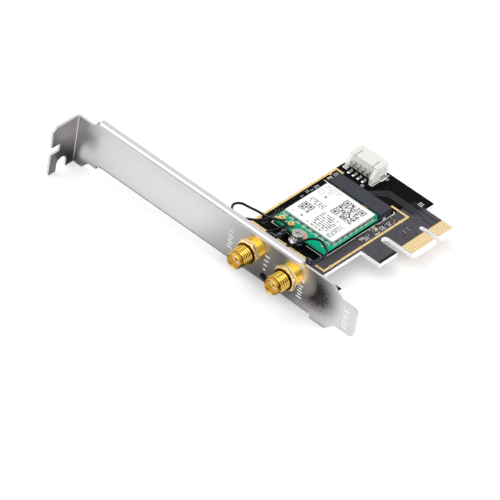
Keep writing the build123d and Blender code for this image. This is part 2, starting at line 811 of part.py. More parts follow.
def jack_body(x):
    """Jack shell: threaded barrel with a plain lip, hexagonal flange, neck and crimp stem.

    The thread is drawn at its crest where it is open, and at its mean radius inside the nut."""
    lip_start = -jack_reach
    lip_back = lip_start + lip_ring_length
    groove_back = lip_back + relief_groove_length
    body = along_y(lip_ring_radius, lip_start, lip_back, x, jack_z)
    body = chamfer(body.edges().group_by(Axis.Y)[0], 0.2)
    body += along_y(relief_groove_radius, lip_back, groove_back, x, jack_z)
    body += along_y(thread_radius, groove_back, nut_front_y, x, jack_z)
    body += along_y(thread_mean_radius, nut_front_y, washer_back_y, x, jack_z)
    body += hexagon(hex_across_flats, washer_back_y, flange_back_y, x, jack_z, 0)
    body += along_y(neck_radius, flange_back_y, neck_back_y, x, jack_z)
    body += along_y(crimp_radius, neck_back_y, crimp_end_y, x, jack_z)
    return body - along_y(mouth_radius, lip_start - 1, flange_back_y, x, jack_z)


def jack_insulator(x):
    """White insulator that fills the shell behind the mouth."""
    front = -jack_reach + mouth_depth
    filler = along_y(insulator_radius, front, flange_back_y, x, jack_z)
    return filler - along_y(centre_pin_radius, front - 1, flange_back_y - 1, x, jack_z)


def jack_centre_pin(x):
    """Centre pin standing in the mouth, with a rounded tip."""
    tip = -jack_reach + centre_pin_setback
    pin = along_y(centre_pin_radius, tip, flange_back_y - 1, x, jack_z)
    return chamfer(pin.edges().group_by(Axis.Y)[0], 0.15)


def jack_nut(x, turn):
    """Hexagonal nut with a round collar against the outside of the bracket."""
    nut = hexagon(hex_across_flats, nut_front_y, -nut_collar_length, x, jack_z, turn)
    nut += along_y(nut_collar_radius, -nut_collar_length, 0, x, jack_z)
    return nut - along_y(thread_mean_radius + thread_clearance, nut_front_y - 1, 1, x, jack_z)


def jack_washer(x):
    """Toothed lock washer between the bracket and the jack's flange."""
    ring = along_y(washer_radius, sheet, washer_back_y, x, jack_z)
    ring -= along_y(thread_radius + thread_clearance, 0, washer_back_y + 1, x, jack_z)
    half = tooth_width / 2
    for i in range(washer_teeth):
        gap = block((-half, half), (sheet - 1, washer_back_y + 1), (washer_radius - tooth_depth, washer_radius + 1))
        ring -= Pos(x, 0, jack_z) * Rot(0, i * 360 / washer_teeth, 0) * gap
    return ring


def crimp_ferrule(x):
    """Ferrule crimped over the jack's stem."""
    inner = crimp_radius + ferrule_gap
    start = neck_back_y + 0.3
    tube = along_y(inner + ferrule_wall, start, crimp_end_y, x, jack_z)
    return tube - along_y(inner, start - 1, crimp_end_y + 1, x, jack_z)


def sleeve(x, end_point):
    """Shrunk sleeve: wide over the ferrule, drawn in to the lead, whose stretch inside it is one with it."""
    inner = crimp_radius + ferrule_gap + ferrule_wall + ferrule_gap
    start = neck_back_y + 0.1
    wide = inner + sleeve_wall
    axis_start = Vector(x, crimp_end_y + ferrule_gap, jack_z)
    knee = Vector(end_point[0], sleeve_knee_y, end_point[2])
    base = Plane(origin=axis_start, z_dir=(knee - axis_start).normalized()).offset(sleeve_taper)
    cover = along_y(wide, start, axis_start.Y, x, jack_z)
    cover -= along_y(inner, start - 1, axis_start.Y, x, jack_z)
    cap = Plane(origin=axis_start, z_dir=(0, 1, 0)) * Circle(wide)
    cover += loft([cap, base * Circle(sleeve_radius)])
    path = FilletPolyline(base.origin, knee, end_point, radius=sleeve_knee_radius)
    return cover + sweep(Plane(origin=path @ 0, z_dir=path % 0) * Circle(sleeve_radius), path=path)


def lead_route(sleeve_end, points, plug_end):
    """All corner points of a lead, from its sleeve to its plug."""
    return [Vector(*p) for p in (sleeve_end, *points, plug_end)]


def lead_radii(route):
    """Radius at each corner: 0.45 of the shorter run over the tangent of half the turn."""
    radii = []
    for before, corner, after in zip(route, route[1:], route[2:]):
        run_in = corner - before
        run_out = after - corner
        half_turn = math.radians(run_in.get_angle(run_out)) / 2
        radii.append(0.45 * min(run_in.length, run_out.length) / math.tan(half_turn))
    return radii


def lead(route):
    """Round coaxial lead along straight runs and tangent arcs."""
    path = FilletPolyline(*route, radius=lead_radii(route))
    section = Plane(origin=path @ 0, z_dir=path % 0) * Circle(lead_radius)
    return sweep(section, path=path)


def chip_spans(chip):
    """Limits of a chip on the board in X, Y and Z."""
    x, y, length, width, height, along = chip
    half_x, half_y = (length / 2, width / 2) if along == "X" else (width / 2, length / 2)
    return (x - half_x, x + half_x), (y - half_y, y + half_y), (board_top, board_top + height)


def chip_cut(span, share):
    """The two end spans and the middle span of a chip along its length."""
    cap = (span[1] - span[0]) * share
    return (span[0], span[0] + cap), (span[1] - cap, span[1]), (span[0] + cap, span[1] - cap)


def chip_pieces(chip):
    """Body and the two terminals of a chip."""
    x_span, y_span, z_span = chip_spans(chip)
    if chip[5] == "X":
        first, last, middle = chip_cut(x_span, terminal_share)
        return block(middle, y_span, z_span), [block(first, y_span, z_span), block(last, y_span, z_span)]
    first, last, middle = chip_cut(y_span, terminal_share)
    return block(x_span, middle, z_span), [block(x_span, first, z_span), block(x_span, last, z_span)]


def link_light():
    """Side-facing light at the board's near edge, behind its hole in the bracket."""
    half = led_width / 2
    y_low = board_near_y + 0.5
    body = block((led_x - half, led_x + half), (y_low, y_low + led_depth), (board_top, board_top + led_height))
    return body + along_y(led_lens_radius, y_low - 0.35, y_low, led_x, board_top + led_height / 2)


route_1 = lead_route(lead_1_sleeve_end, lead_1_points, tail_end(plug_centres[0], plug_headings[0]))
route_2 = lead_route(lead_2_sleeve_end, lead_2_points, tail_end(plug_centres[1], plug_headings[1]))

save(mounting_bracket(), "mounting_bracket")
save(adapter_board(), "adapter_board")
save(contact_row((board_top, board_top + plating)), "edge_contacts_upper")
save(contact_row((board_low - plating, board_low)), "edge_contacts_lower")
save(guard_line(), "guard_line")
save(ear_screws(), "ear_screws")
save(module_board(), "module_board")
save(module_ring_pad(), "module_ring_pad")
save(module_shield(), "module_shield")
save(module_label(), "module_label")
save(module_small_parts(), "module_small_parts")
save(socket_housing(), "socket_housing")
save(socket_contacts(), "socket_contacts")
save(socket_hold_downs(), "socket_hold_downs")
save(standoff(), "standoff")
save(module_screw(), "module_screw")
save(header_housing(), "header_housing")
save(header_contacts(), "header_contacts")
save(header_solder_tabs(), "header_solder_tabs")
save(link_light(), "link_light")
for number, (centre, heading) in enumerate(zip(plug_centres, plug_headings), 1):
    save(receptacle(centre), f"coax_receptacle_{number}")
    save(coaxial_plug(centre, heading), f"coax_plug_{number}")
for number, (x, turn) in enumerate(zip(jack_x, nut_turns), 1):
    save(jack_body(x), f"jack_{number}_body")
    save(jack_insulator(x), f"jack_{number}_insulator")
    save(jack_centre_pin(x), f"jack_{number}_pin")
    save(jack_nut(x, turn), f"jack_{number}_nut")
    save(jack_washer(x), f"jack_{number}_washer")
    save(crimp_ferrule(x), f"jack_{number}_ferrule")
save(sleeve(jack_x[0], lead_1_sleeve_end), "sleeve_1")
save(sleeve(jack_x[1], lead_2_sleeve_end), "sleeve_2")
save(lead(route_1), "lead_1")
save(lead(route_2), "lead_2")

capacitors = [chip_pieces(chip) for chip in board_capacitors]
resistors = [chip_pieces(chip) for chip in board_resistors]
save(Compound([body for body, ends in capacitors]), "board_capacitors")
save(Compound([body for body, ends in resistors]), "board_resistors")
save(Compound([end for body, ends in capacitors + resistors for end in ends]), "chip_terminals")
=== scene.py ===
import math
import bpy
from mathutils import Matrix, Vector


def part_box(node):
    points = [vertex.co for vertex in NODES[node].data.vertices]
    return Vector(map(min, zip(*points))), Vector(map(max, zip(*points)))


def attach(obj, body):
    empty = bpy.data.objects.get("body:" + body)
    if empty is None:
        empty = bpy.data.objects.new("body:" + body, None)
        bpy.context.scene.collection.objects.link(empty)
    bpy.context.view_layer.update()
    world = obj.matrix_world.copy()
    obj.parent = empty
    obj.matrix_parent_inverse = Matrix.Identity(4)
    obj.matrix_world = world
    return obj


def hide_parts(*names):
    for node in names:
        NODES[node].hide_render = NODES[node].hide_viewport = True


bl_info = {
    "name": "Wireless network card",
    "version": (1, 0, 0),
    "blender": (4, 5, 0),
    "location": "3D View > Sidebar > Network card",
    "description": "Finishes, printed marks, threads, sleeves and leads of a wireless network card",
    "category": "Object",
}

import bmesh
import bpy
import numpy as np
from bpy.props import FloatProperty, FloatVectorProperty, PointerProperty
from mathutils import Matrix

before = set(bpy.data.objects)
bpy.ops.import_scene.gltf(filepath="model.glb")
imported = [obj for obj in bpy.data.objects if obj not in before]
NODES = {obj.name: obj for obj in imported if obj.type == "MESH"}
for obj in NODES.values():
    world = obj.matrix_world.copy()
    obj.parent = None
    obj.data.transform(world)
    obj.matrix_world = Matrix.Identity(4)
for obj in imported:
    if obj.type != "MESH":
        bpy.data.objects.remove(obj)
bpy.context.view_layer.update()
MM = 0.001

# Sizes and places are millimetres in the bracket's own frame: X from the outside of the screw tab
# to the end of the tongue, Y from the outer face into the computer, Z up from the lower lip.
TAB_DEPTH = 11.43
TAB_LOW = -4.07
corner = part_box("mounting_bracket")[0]
ORIGIN = np.array([corner.x, corner.y + TAB_DEPTH * MM, corner.z - TAB_LOW * MM])

BOARD_TOP = 2.43
MODULE_TOP = 4.73
SOCKET_TOP = 5.63
CONTACT_EDGE_Y = (45.6, 66.0)
GUARD_X = (62.08, 93.65)
GUARD_Y = (16.87, 58.7)
GUARD_WIDTH = 0.8
MODULE_SCREW = (78.0, 21.55)
PLUG_CENTRES = ((69.45, 23.5), (73.35, 23.4))
PLUG_HEADINGS = (25.5, 10.0)
PLUG_AXIS_Z = MODULE_TOP + 0.72
JACK_X = (77.26, 92.96)
JACK_Z = 10.49
NUT_TURNS = (-7.0, -29.0)

# Print, pads and lines reach this far into the face that carries them.
SUNK = 0.01
# Faces of a box whose corners are numbered round its floor and then round its roof.
BOX_SIDES = np.array([[0, 3, 2, 1], [4, 5, 6, 7], [0, 1, 5, 4], [1, 2, 6, 5], [2, 3, 7, 6], [3, 0, 4, 7]])

# The view: azimuth, elevation and roll in degrees, then millimetres from its target, which is
# moved to the right and up by the shift.
VIEW_ANGLES = (35.5704, 40.2758, 10.0137)
VIEW_DISTANCE = 1400.0
VIEW_TARGET = np.array([60.0, 15.0, 8.0])
VIEW_SHIFT = (2.0046, -13.6374)


def paint(text):
    """Linear colour from sRGB digits: each part over 12.92 below 0.04045, else raised to 2.4."""
    parts = [int(text[i:i + 2], 16) / 255 for i in (0, 2, 4)]
    return tuple(c / 12.92 if c <= 0.04045 else ((c + 0.055) / 1.055) ** 2.4 for c in parts)


def metres(points):
    """Bracket-frame millimetres to metres in the part's frame: times 0.001, plus the origin."""
    return np.asarray(points, float) * MM + ORIGIN


# Materials


class Wire:
    """A value on its way through a material; arithmetic on it adds Math nodes."""

    def __init__(self, recipe, socket):
        self.recipe = recipe
        self.socket = socket

    def math(self, operation, *others, clamp=False):
        values = dict(enumerate((self, *others)))
        return self.recipe.node("ShaderNodeMath", {"operation": operation, "use_clamp": clamp}, values)

    def __add__(self, other):
        return self.math("ADD", other)

    def __mul__(self, other):
        return self.math("MULTIPLY", other)

    def __sub__(self, other):
        return self.math("SUBTRACT", other)

    def __rsub__(self, other):
        return self.recipe.node("ShaderNodeMath", {"operation": "SUBTRACT"}, {0: other, 1: self})

    __radd__ = __add__
    __rmul__ = __mul__

    def above(self, edge, soft=0.02):
        """Rises from 0 to 1 over a width of soft about the edge."""
        return self.math("MULTIPLY_ADD", 1 / soft, 0.5 - edge / soft, clamp=True)

    def between(self, low, high, soft=0.02):
        """1 between two limits and 0 outside them."""
        return self.above(low, soft) * (1 - self.above(high, soft))

    def larger(self, other):
        return self.math("MAXIMUM", other)

    def smaller(self, other):
        return self.math("MINIMUM", other)

    def size(self):
        return self.math("ABSOLUTE")

    def whole(self):
        return self.math("FLOOR")

    def part(self):
        return self.math("FRACT")


class Recipe:
    """One material's node tree round its Principled shader."""

    def __init__(self, name):
        self.material = bpy.data.materials.new(name)
        self.material.use_nodes = True
        self.tree = self.material.node_tree
        self.shader = self.tree.nodes["Principled BSDF"]

    def node(self, kind, settings=None, values=None, out=0):
        """Any node: its settings first, with a ramp's stops among them, then its sockets' values or links."""
        made = self.tree.nodes.new(kind)
        for key, value in (settings or {}).items():
            if key == "stops":
                ramp = made.color_ramp.elements
                while len(ramp) < len(value):
                    ramp.new(0.5)
                for stop, (place, colour) in zip(ramp, value):
                    stop.position = place
                    stop.color = (*colour, 1)
            else:
                setattr(made, key, value)
        for key, value in (values or {}).items():
            self.feed(made.inputs[key], value)
        return Wire(self, made.outputs[out])

    def feed(self, socket, value):
        if isinstance(value, Wire):
            self.tree.links.new(value.socket, socket)
        elif socket.type == "RGBA" and len(value) == 3:
            socket.default_value = (*value, 1)
        else:
            socket.default_value = value

    def shade(self, **values):
        """Feeds the Principled shader's sockets, named with _ for spaces, and returns the material."""
        for key, value in values.items():
            self.feed(self.shader.inputs[key.replace("_", " ")], value)
        return self.material

    def place(self):
        """X, Y and Z of the surface in bracket-frame millimetres."""
        where = self.node("ShaderNodeTexCoord", out="Object")
        moved = self.node("ShaderNodeMapping", None,
                          {"Vector": where, "Location": tuple(-ORIGIN / MM), "Scale": (1 / MM,) * 3})
        axes = [self.node("ShaderNodeSeparateXYZ", None, {"Vector": moved}, out=axis) for axis in "XYZ"]
        return moved, axes

    def facing(self, axis):
        """How far the surface faces along an axis, to either side, from 0 to 1."""
        normal = self.node("ShaderNodeNewGeometry", out="Normal")
        return self.node("ShaderNodeSeparateXYZ", None, {"Vector": normal}, out=axis).size()

    def mix(self, share, first, second):
        """Colour between two others; the node's colour sockets are 6 and 7, and its colour output is 2."""
        return self.node("ShaderNodeMix", {"data_type": "RGBA"}, {0: share, 6: first, 7: second}, out=2)

    def noise(self, where, scale, detail=2.0):
        """Soft noise from 0 to 1, with more fine grain as the detail rises."""
        return self.node("ShaderNodeTexNoise", None, {"Vector": where, "Scale": scale, "Detail": detail})

    def cells(self, across, along):
        """A random value from 0 to 1 for each whole cell."""
        cell = self.node("ShaderNodeCombineXYZ", None, {"X": across.whole(), "Y": along.whole(), "Z": 3.0})
        return self.node("ShaderNodeTexWhiteNoise", {"noise_dimensions": "3D"}, {"Vector": cell})

    def bump(self, height, depth):
        """Normal from a height of 0 to 1 that stands for a depth in millimetres."""
        return self.node("ShaderNodeBump", None, {"Strength": 1.0, "Distance": depth * MM, "Height": height})


def scaled(colour, factor):
    """The same colour, lighter or darker by a factor."""
    return tuple(c * factor for c in colour)


def blob(across, along, x, y, reach_x, reach_y):
    """Soft round spot: 1 at its centre, falling to 0 at its reach, as 1 less the squared distance."""
    u = (across - x) * (1 / reach_x)
    v = (along - y) * (1 / reach_y)
    return (1 - (u * u + v * v)).larger(0.0)


def nickel_plate(colour):
    """Bright plated sheet with fine grain; painted shade as dark reflections in patches at the neck and
    tongue, the tab painted darker towards its bottom, the outer face painted a little darker near its top,
    and a painted reflection of the gold jacks as a pale warm glow beside them.
    """
    r = Recipe("nickel_plate")
    where, (x, y, z) = r.place()
    grain = r.noise(where, 4.2, 3.0)
    mottle = r.noise(where, 0.9, 6.0)
    clouds = r.noise(where, 0.12)
    outer = r.facing("Y").above(0.9, 0.1) * (1 - y.above(0.4, 0.2))
    ragged = (mottle - 0.5) * 1.7 + (grain - 0.5) * 0.9
    # Painted shade: dark reflections painted as patches on the outer face at the neck and the tongue.
    neck = blob(x, z, 3.2, 13.0, 3.8, 8.0).larger(blob(x, z, 6.9, 9.2, 4.6, 4.4))
    neck = neck.larger(blob(x, z, 2.6, -0.7, 2.2, 4.0) * 0.8)
    light = blob(x, z, 7.7, 13.2, 2.8, 2.4).larger(blob(x, z, 4.7, 1.5, 1.7, 6.0))
    neck = (neck * 1.2 * (1 - light) + ragged * 1.5 * neck.above(0.05, 0.3)).larger(0.0).smaller(1.0) * 0.2
    tongue = blob(x, z, 103.9, 10.0, 12.0, 11.0)
    tongue = (tongue * tongue * (1.2 + (mottle - 0.5) * 0.8 + (grain - 0.5) * 1.1)).larger(0.0).smaller(1.0)
    # Painted shade: the tab is painted darker towards its bottom.
    tab = r.facing("X").above(0.9, 0.1) * (1 - x.above(2.0, 0.5))
    painted_shade = neck.larger(tongue) * outer + tab * (0.8 - z.above(5.5, 8.0) * 0.42 + (mottle - 0.5) * 0.25)
    shade = (1 - painted_shade.smaller(1.0) * 0.96) * (0.89 + grain * 0.12) * (0.97 + clouds * 0.04)
    # Painted shade: the outer face is painted a little darker near its top.
    shade = shade * (1 - outer * z.above(13.0, 3.0) * 0.06)
    # Near-black colour of the painted shade, and the pale warm colour of the painted reflection of the jacks.
    shade_colour, pale = (0.018, 0.014, 0.013), (0.97, 0.93, 0.86)
    # Painted reflection: a pale warm glow of the gold jacks on the outer face beside each jack.
    first, second = (blob(x, z, jack + 4.0, 12.0, 7.0, 7.0) for jack in JACK_X)
    base = r.mix(first.larger(second) * outer, r.mix(shade, shade_colour, colour), pale)
    return r.shade(Base_Color=base, Metallic=1.0, Roughness=0.29 + clouds * 0.04 + grain * 0.03,
                   Normal=r.bump(grain, 0.0015))


def speckled(name, first, second, share, rough, spread, scale, depth=0.0, **sockets):
    """One noise mixes two colours by a share, spreads the roughness and, with a depth, lifts a bump."""
    r = Recipe(name)
    where, _ = r.place()
    grain = r.noise(where, scale)
    if depth:
        sockets["Normal"] = r.bump(grain, depth)
    base = r.mix(grain * share, first, second)
    return r.shade(Base_Color=base, Roughness=rough + grain * spread, **sockets)


def covered_copper(colour):
    """Ridges of copper under the solder mask."""
    return speckled("covered_copper", colour, scaled(colour, 1.6), 0.4, 0.25, 0.08, 3.0,
                    Specular_IOR_Level=0.2)


def tinned(name, shade, rough):
    """Soft grey tin with a faint ripple."""
    return speckled(name, (shade,) * 3, (shade * 0.75,) * 3, 0.5, rough, 0.12, 3.5, 0.012, Metallic=1.0)


def chip_face():
    """Near-black glaze of the chip resistors."""
    return speckled("chip_face", (0.02, 0.02, 0.022), (0.05, 0.05, 0.055), 0.3, 0.4, 0.1, 2.0)


def polished_gold(name, colour, rough):
    """Gold plate with faint rub marks."""
    r = Recipe(name)
    where, _ = r.place()
    rub = r.noise(where, 2.4, 3.0)
    base = r.mix(rub.between(0.35, 0.75, 0.3) * 0.25, colour, scaled(colour, 0.82))
    return r.shade(Base_Color=base, Metallic=1.0, Roughness=rough + rub * 0.08, Normal=r.bump(rub, 0.004))


def jack_plate(colour):
    """Bright gold with faint rub marks; painted shade in the thread's valleys, the mouth, the nut's front
    chamfer, the thread's root by the nut and the grooves round the nut; paler, rougher nut faces, rougher as
    a brushed finish and paler as a painted highlight; and a deeper collar.
    """
    r = Recipe("jack_gold")
    where, (x, y, z) = r.place()
    rub = r.noise(where, 2.4, 3.0)
    off = (x - JACK_X[0]).size().smaller((x - JACK_X[1]).size())
    up = z - JACK_Z
    far = (off * off + up * up).math("SQRT")
    open_part = y.between(-9.2, -3.55, 0.05) * far.above(2.35, 0.05)
    # Painted shade: the thread's valleys, the inside of the mouth and the nut's front chamfer are painted
    # darker.
    valley_shade = (1 - far.above(3.0, 0.2)) * open_part * (0.12 + y.above(-8.2, 0.05) * 0.88)
    mouth_shade = (1 - far.above(2.33, 0.02)) * (1 - y.above(-7.0, 0.1)) * y.above(-9.3, 0.6) * 0.12
    collar = y.between(-1.56, 0.2, 0.04) * far.above(3.2, 0.1)
    # Nut faces: rougher as a brushed finish, and paler as a painted highlight.
    faces = y.between(-3.7, -1.66, 0.04) * far.above(3.9, 0.06)
    chamfer_shade = y.between(-3.7, -3.3, 0.1) * far.above(3.95, 0.1) * 0.35
    film = valley_shade.larger(mouth_shade).larger(chamfer_shade).larger(rub.between(0.3, 0.8, 0.3) * 0.12)
    # Painted shade: near-black bands at the thread's root by the nut, in the groove round the nut's middle
    # and where the nut meets its collar.
    root = y.between(-3.8, -3.42, 0.1) * (1 - far.above(3.6, 0.2)) * far.above(2.6, 0.1)
    groove_shade = (y.between(-1.74, -1.54, 0.05) + y.between(-2.74, -2.56, 0.04)) * far.above(3.3, 0.1)
    # Dark brown of the painted shade, which also takes in the faint rub marks.
    base = r.mix(film, colour, (0.27, 0.135, 0.01))
    for share, tint in ((faces * 0.75, (1.0, 0.84, 0.46)), (collar, (1.0, 0.6, 0.06)),
                        (root.larger(groove_shade) * 0.93, (0.03, 0.014, 0.002))):
        base = r.mix(share, base, tint)
    return r.shade(Base_Color=base, Metallic=1.0, Roughness=0.12 + rub * 0.07 + faces * 0.25,
                   Normal=r.bump(rub, 0.004))


def plug_metal(colour):
    """Stamped gold of the coaxial plugs with faint rub marks, and painted shade below the height of their
    axis, which darkens the dimple, the cap's lower sides and the lower half of the barrel.
    """
    r = Recipe("plug_gold")
    where, (_, _, z) = r.place()
    rub = r.noise(where, 3.0, 3.0)
    # Painted shade: everything below the height of the plugs' axis is painted darker.
    low = 1 - z.above(PLUG_AXIS_Z, 0.3)
    base = r.mix((low * 0.75).larger(rub.above(0.6, 0.2) * 0.3), colour, paint("5c431a"))
    return r.shade(Base_Color=base, Metallic=1.0, Roughness=0.24 + rub * 0.12, Normal=r.bump(rub, 0.01))


def solder_mask(colour, pour):
    """Black mask, paler over copper, with bare laminate by the contacts and white cut edges.

    The edge behind the bracket, out of the light, is dark."""
    r = Recipe("solder_mask")
    where, (x, y, _) = r.place()
    contacts = y.between(*CONTACT_EDGE_Y, 0.1)
    copper = x.between(89.4, 101.4, 0.3) * y.between(14.0, 66.2, 0.5)
    gaps = sum(y.between(low, low + 0.25, 0.05) for low in (61.05, 62.2, 63.9)) * x.above(80.0, 0.4)
    far = y.above(60.2, 0.6) * (1 - x.above(94.0, 3.0))
    leg = y.between(33.0, 46.0, 0.5) * x.above(94.0, 0.3)
    tone = copper * (1 - gaps.smaller(1.0)) * (1 - far * 0.8) + leg * 0.2
    tone = (tone * x.above(70.0, 12.0)).smaller(1.0)
    weave = r.node("ShaderNodeTexWave", {"wave_type": "BANDS", "bands_direction": "X"},
                   {"Vector": where, "Scale": 0.9, "Distortion": 0.0})
    grain = r.noise(where, 3.0)
    laminate = r.mix(grain, paint("c09a5c"), paint("d8b274"))
    top = r.mix(x.above(101.25, 0.1) * contacts, r.mix(tone * 0.9 + grain * 0.02, colour, pour), laminate)
    lit = y.above(3.0, 0.4)
    white = r.mix(r.noise(where, 1.2), paint("f2f4f8"), paint("ffffff"))
    edge = r.mix(lit, (0.02, 0.018, 0.016), white)
    rim = (1 - r.facing("Z").above(0.985, 0.02)).larger(x.above(105.95, 0.1) * contacts)
    return r.shade(Base_Color=r.mix(rim, top, edge), Roughness=0.27 + grain * 0.08 + rim * 0.3,
                   Specular_IOR_Level=0.03, Coat_Weight=rim * lit, Coat_IOR=1.9, Coat_Roughness=0.3,
                   Normal=r.bump(grain + weave * 0.15, 0.006))


def green_mask(colour):
    """Green solder mask of the radio module, with darker lanes at its far end and pale cut edges."""
    r = Recipe("green_mask")
    where, (x, y, _) = r.place()
    grain = r.noise(where, 0.9)
    lanes = (x * 0.9).part().between(0.4, 0.55, 0.06) * y.above(47.3, 0.1)
    base = r.mix(grain * 0.25 + lanes * 0.3, colour, scaled(colour, 0.6))
    cut = 1 - r.facing("Z").above(0.9, 0.05)
    base = r.mix(cut * 0.7, base, paint("35c492"))
    return r.shade(Base_Color=base, Roughness=0.3 + grain * 0.1, Specular_IOR_Level=0.05,
                   Normal=r.bump(grain, 0.008))


def moulded(name, colour, rough, fleck=0.12):
    """Moulded plastic with a fine matt texture."""
    r = Recipe(name)
    where, _ = r.place()
    texture = r.noise(where, 6.0, 3.0)
    tone = r.noise(where, 0.5)
    base = r.mix(tone * (2 * fleck), colour, scaled(colour, 0.8))
    return r.shade(Base_Color=base, Roughness=rough + texture * 0.1, Normal=r.bump(texture, 0.01))


def jacket(name, colour, rough, highlight_share):
    """Dark glossy jacket, tubing or resin with a faint ripple, and pale bluish flecks on its upward faces as
    a painted highlight, in a share given by the last argument.
    """
    r = Recipe(name)
    where, _ = r.place()
    scuff = r.noise(where, 2.2, 3.0)
    # Painted highlight: pale bluish flecks on the faces that look up.
    fleck = r.noise(where, 1.1, 1.0).above(0.62, 0.14) * r.facing("Z").above(0.8, 0.3)
    base = r.mix(fleck * highlight_share, colour, (0.42, 0.45, 0.6))
    return r.shade(Base_Color=base, Roughness=rough + scuff * 0.12, Specular_IOR_Level=0.18,
                   Normal=r.bump(scuff, 0.012))


def printed_label(colour, ink):
    """White film with dark rules of print, two chequered code fields and small round marks."""
    r = Recipe("printed_label")
    where, (x, y, _) = r.place()

    def field(left, low, width, cells):
        """Chequered square with a ringed block in three corners."""
        u = (x - left) * (cells / width)
        v = (y - low) * (cells / width)
        inside = u.between(0, cells, 0.1) * v.between(0, cells, 0.1)
        dark = r.cells(u, v).above(0.5, 0.01)
        blocks = ((3.5, cells - 3.5), (3.5, 3.5), (cells - 3.5, cells - 3.5))
        reach = [(u - cu).size().larger((v - cv).size()) for cu, cv in blocks]
        rings = sum((1 - far.above(1.5, 0.1)) + far.between(2.5, 3.5, 0.1) for far in reach)
        quiet = sum(1 - far.above(4.0, 0.1) for far in reach)
        return inside * (dark * (1 - quiet.smaller(1.0)) + rings).smaller(1.0)

    def lines(strength, left, right, low, high, pitch, letter, density):
        """Rows of short dashes along X that stand for lines of print."""
        row = (y - low) * (1 / pitch)
        inside = x.between(left, right, 0.05) * y.between(low, high, 0.05)
        dash = r.cells(x * (1 / letter), row).above(1 - density, 0.01)
        return inside * row.part().between(0.15, 0.62, 0.1) * dash * strength

    def ring(strength, cx, cy, radius, width):
        """Thin ring: where the distance from its centre lies within half a width of its radius."""
        u, v = x - cx, y - cy
        far = (u * u + v * v).math("SQRT")
        return far.between(radius - width / 2, radius + width / 2, 0.08) * strength

    def dot(strength, cx, cy, radius):
        """Small filled spot."""
        return blob(x, y, cx, cy, radius, radius).above(0.2, 0.2) * strength

    marks = field(69.4, 30.6, 4.2, 13)
    for shape, *values in (
            (field, 77.6, 37.0, 8.6, 25),
            (lines, 1.0, 75.8, 83.2, 27.2, 28.4, 0.95, 0.26, 0.75),
            (lines, 1.0, 76.8, 83.6, 28.6, 35.6, 1.0, 0.26, 0.66),
            (lines, 0.95, 69.4, 75.6, 35.6, 38.3, 0.9, 0.24, 0.72),
            (lines, 0.55, 68.8, 75.0, 44.6, 46.6, 0.66, 0.22, 0.7),
            (lines, 1.0, 84.3, 86.3, 27.2, 34.4, 0.52, 1.0, 0.85),
            (ring, 0.6, 69.6, 42.2, 0.95, 0.22), (ring, 0.7, 71.9, 43.6, 0.55, 0.2),
            (ring, 0.5, 69.9, 28.3, 0.42, 0.14),
            (dot, 0.8, 72.3, 41.2, 0.55), (dot, 0.85, 73.2, 28.5, 0.5)):
        marks = marks.larger(shape(*values))
    film = r.noise(where, 0.35)
    base = r.mix(marks * 0.95, r.mix(film * 0.15, colour, scaled(colour, 0.9)), ink)
    return r.shade(Base_Color=base, Roughness=0.42 + film * 0.1)


def chip_bodies():
    """Row of small components: each stretch of the row takes its own colour."""
    r = Recipe("chip_bodies")
    where, (x, y, _) = r.place()
    pick = r.cells((x - 67.0) * 0.45, y * 0.1)
    stops = [(0.0, paint("3a2d1c")), (0.28, paint("b98d4f")), (0.5, paint("23212b")), (0.72, paint("d9d6cf"))]
    colour = r.node("ShaderNodeValToRGB", {"stops": stops}, {0: pick})
    return r.shade(Base_Color=colour, Roughness=0.45 + r.noise(where, 2.0) * 0.1)


# Shapes


def linked(name, data):
    """New object of the scene that holds the data."""
    made = bpy.data.objects.new(name, data)
    bpy.context.scene.collection.objects.link(made)
    return made


def built(name, points, faces, material, sharp=30.0, heal=True):
    """Mesh object from points in bracket-frame millimetres and quads.

    Healing merges doubled points and turns the normals outwards."""
    mesh = bpy.data.meshes.new(name)
    mesh.from_pydata(metres(points.reshape(-1, 3)).tolist(), [], faces.reshape(-1, 4).tolist())
    if heal:
        work = bmesh.new()
        work.from_mesh(mesh)
        bmesh.ops.remove_doubles(work, verts=work.verts, dist=1e-7)
        bmesh.ops.recalc_face_normals(work, faces=work.faces)
        work.to_mesh(mesh)
        work.free()
    mesh.polygons.foreach_set("use_smooth", np.ones(len(mesh.polygons), bool))
    mesh.set_sharp_from_angle(angle=math.radians(sharp))
    mesh.materials.append(material)
    piece = linked(name, mesh)
    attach(piece, "root")
    return piece


def grid_faces(copies, rows, columns, wrap_rows, wrap_columns):
    """Quads of copies of a grid: each joins a point to the next along its row, and both to the next row."""
    index = np.arange(rows * columns).reshape(rows, columns)
    right = np.roll(index, -1, axis=1)
    below = np.roll(index, -1, axis=0)
    both = np.roll(right, -1, axis=0)
    quads = np.stack([index, right, both, below], axis=-1)
    quads = quads[:rows if wrap_rows else rows - 1, :columns if wrap_columns else columns - 1].reshape(-1, 4)
    return (quads[None] + (np.arange(copies) * rows * columns)[:, None, None]).reshape(-1, 4)


def box_faces(count):
    """Faces of several boxes of eight corners each."""
    return BOX_SIDES[None] + (np.arange(count) * 8)[:, None, None]


def ribbons(name, paths, width, top, rise, material, sunk=SUNK):
    """Flat bars along each run of the paths, half their width to either side, rising over a face."""
    a = np.array([p for path in paths for p in path[:-1]], float)
    b = np.array([p for path in paths for p in path[1:]], float)
    run = b - a
    run /= np.maximum(np.linalg.norm(run, axis=1, keepdims=True), 1e-9)
    across = np.stack([-run[:, 1], run[:, 0]], axis=1) * width / 2
    ring = np.stack([a - across, b - across, b + across, a + across], axis=1)
    flat = np.ones(ring.shape[:2] + (1,))
    levels = [np.concatenate([ring, flat * z], axis=2) for z in (top - sunk, top + rise)]
    points = np.concatenate(levels, axis=1)
    return built(name, points, box_faces(len(a)), material, heal=False)


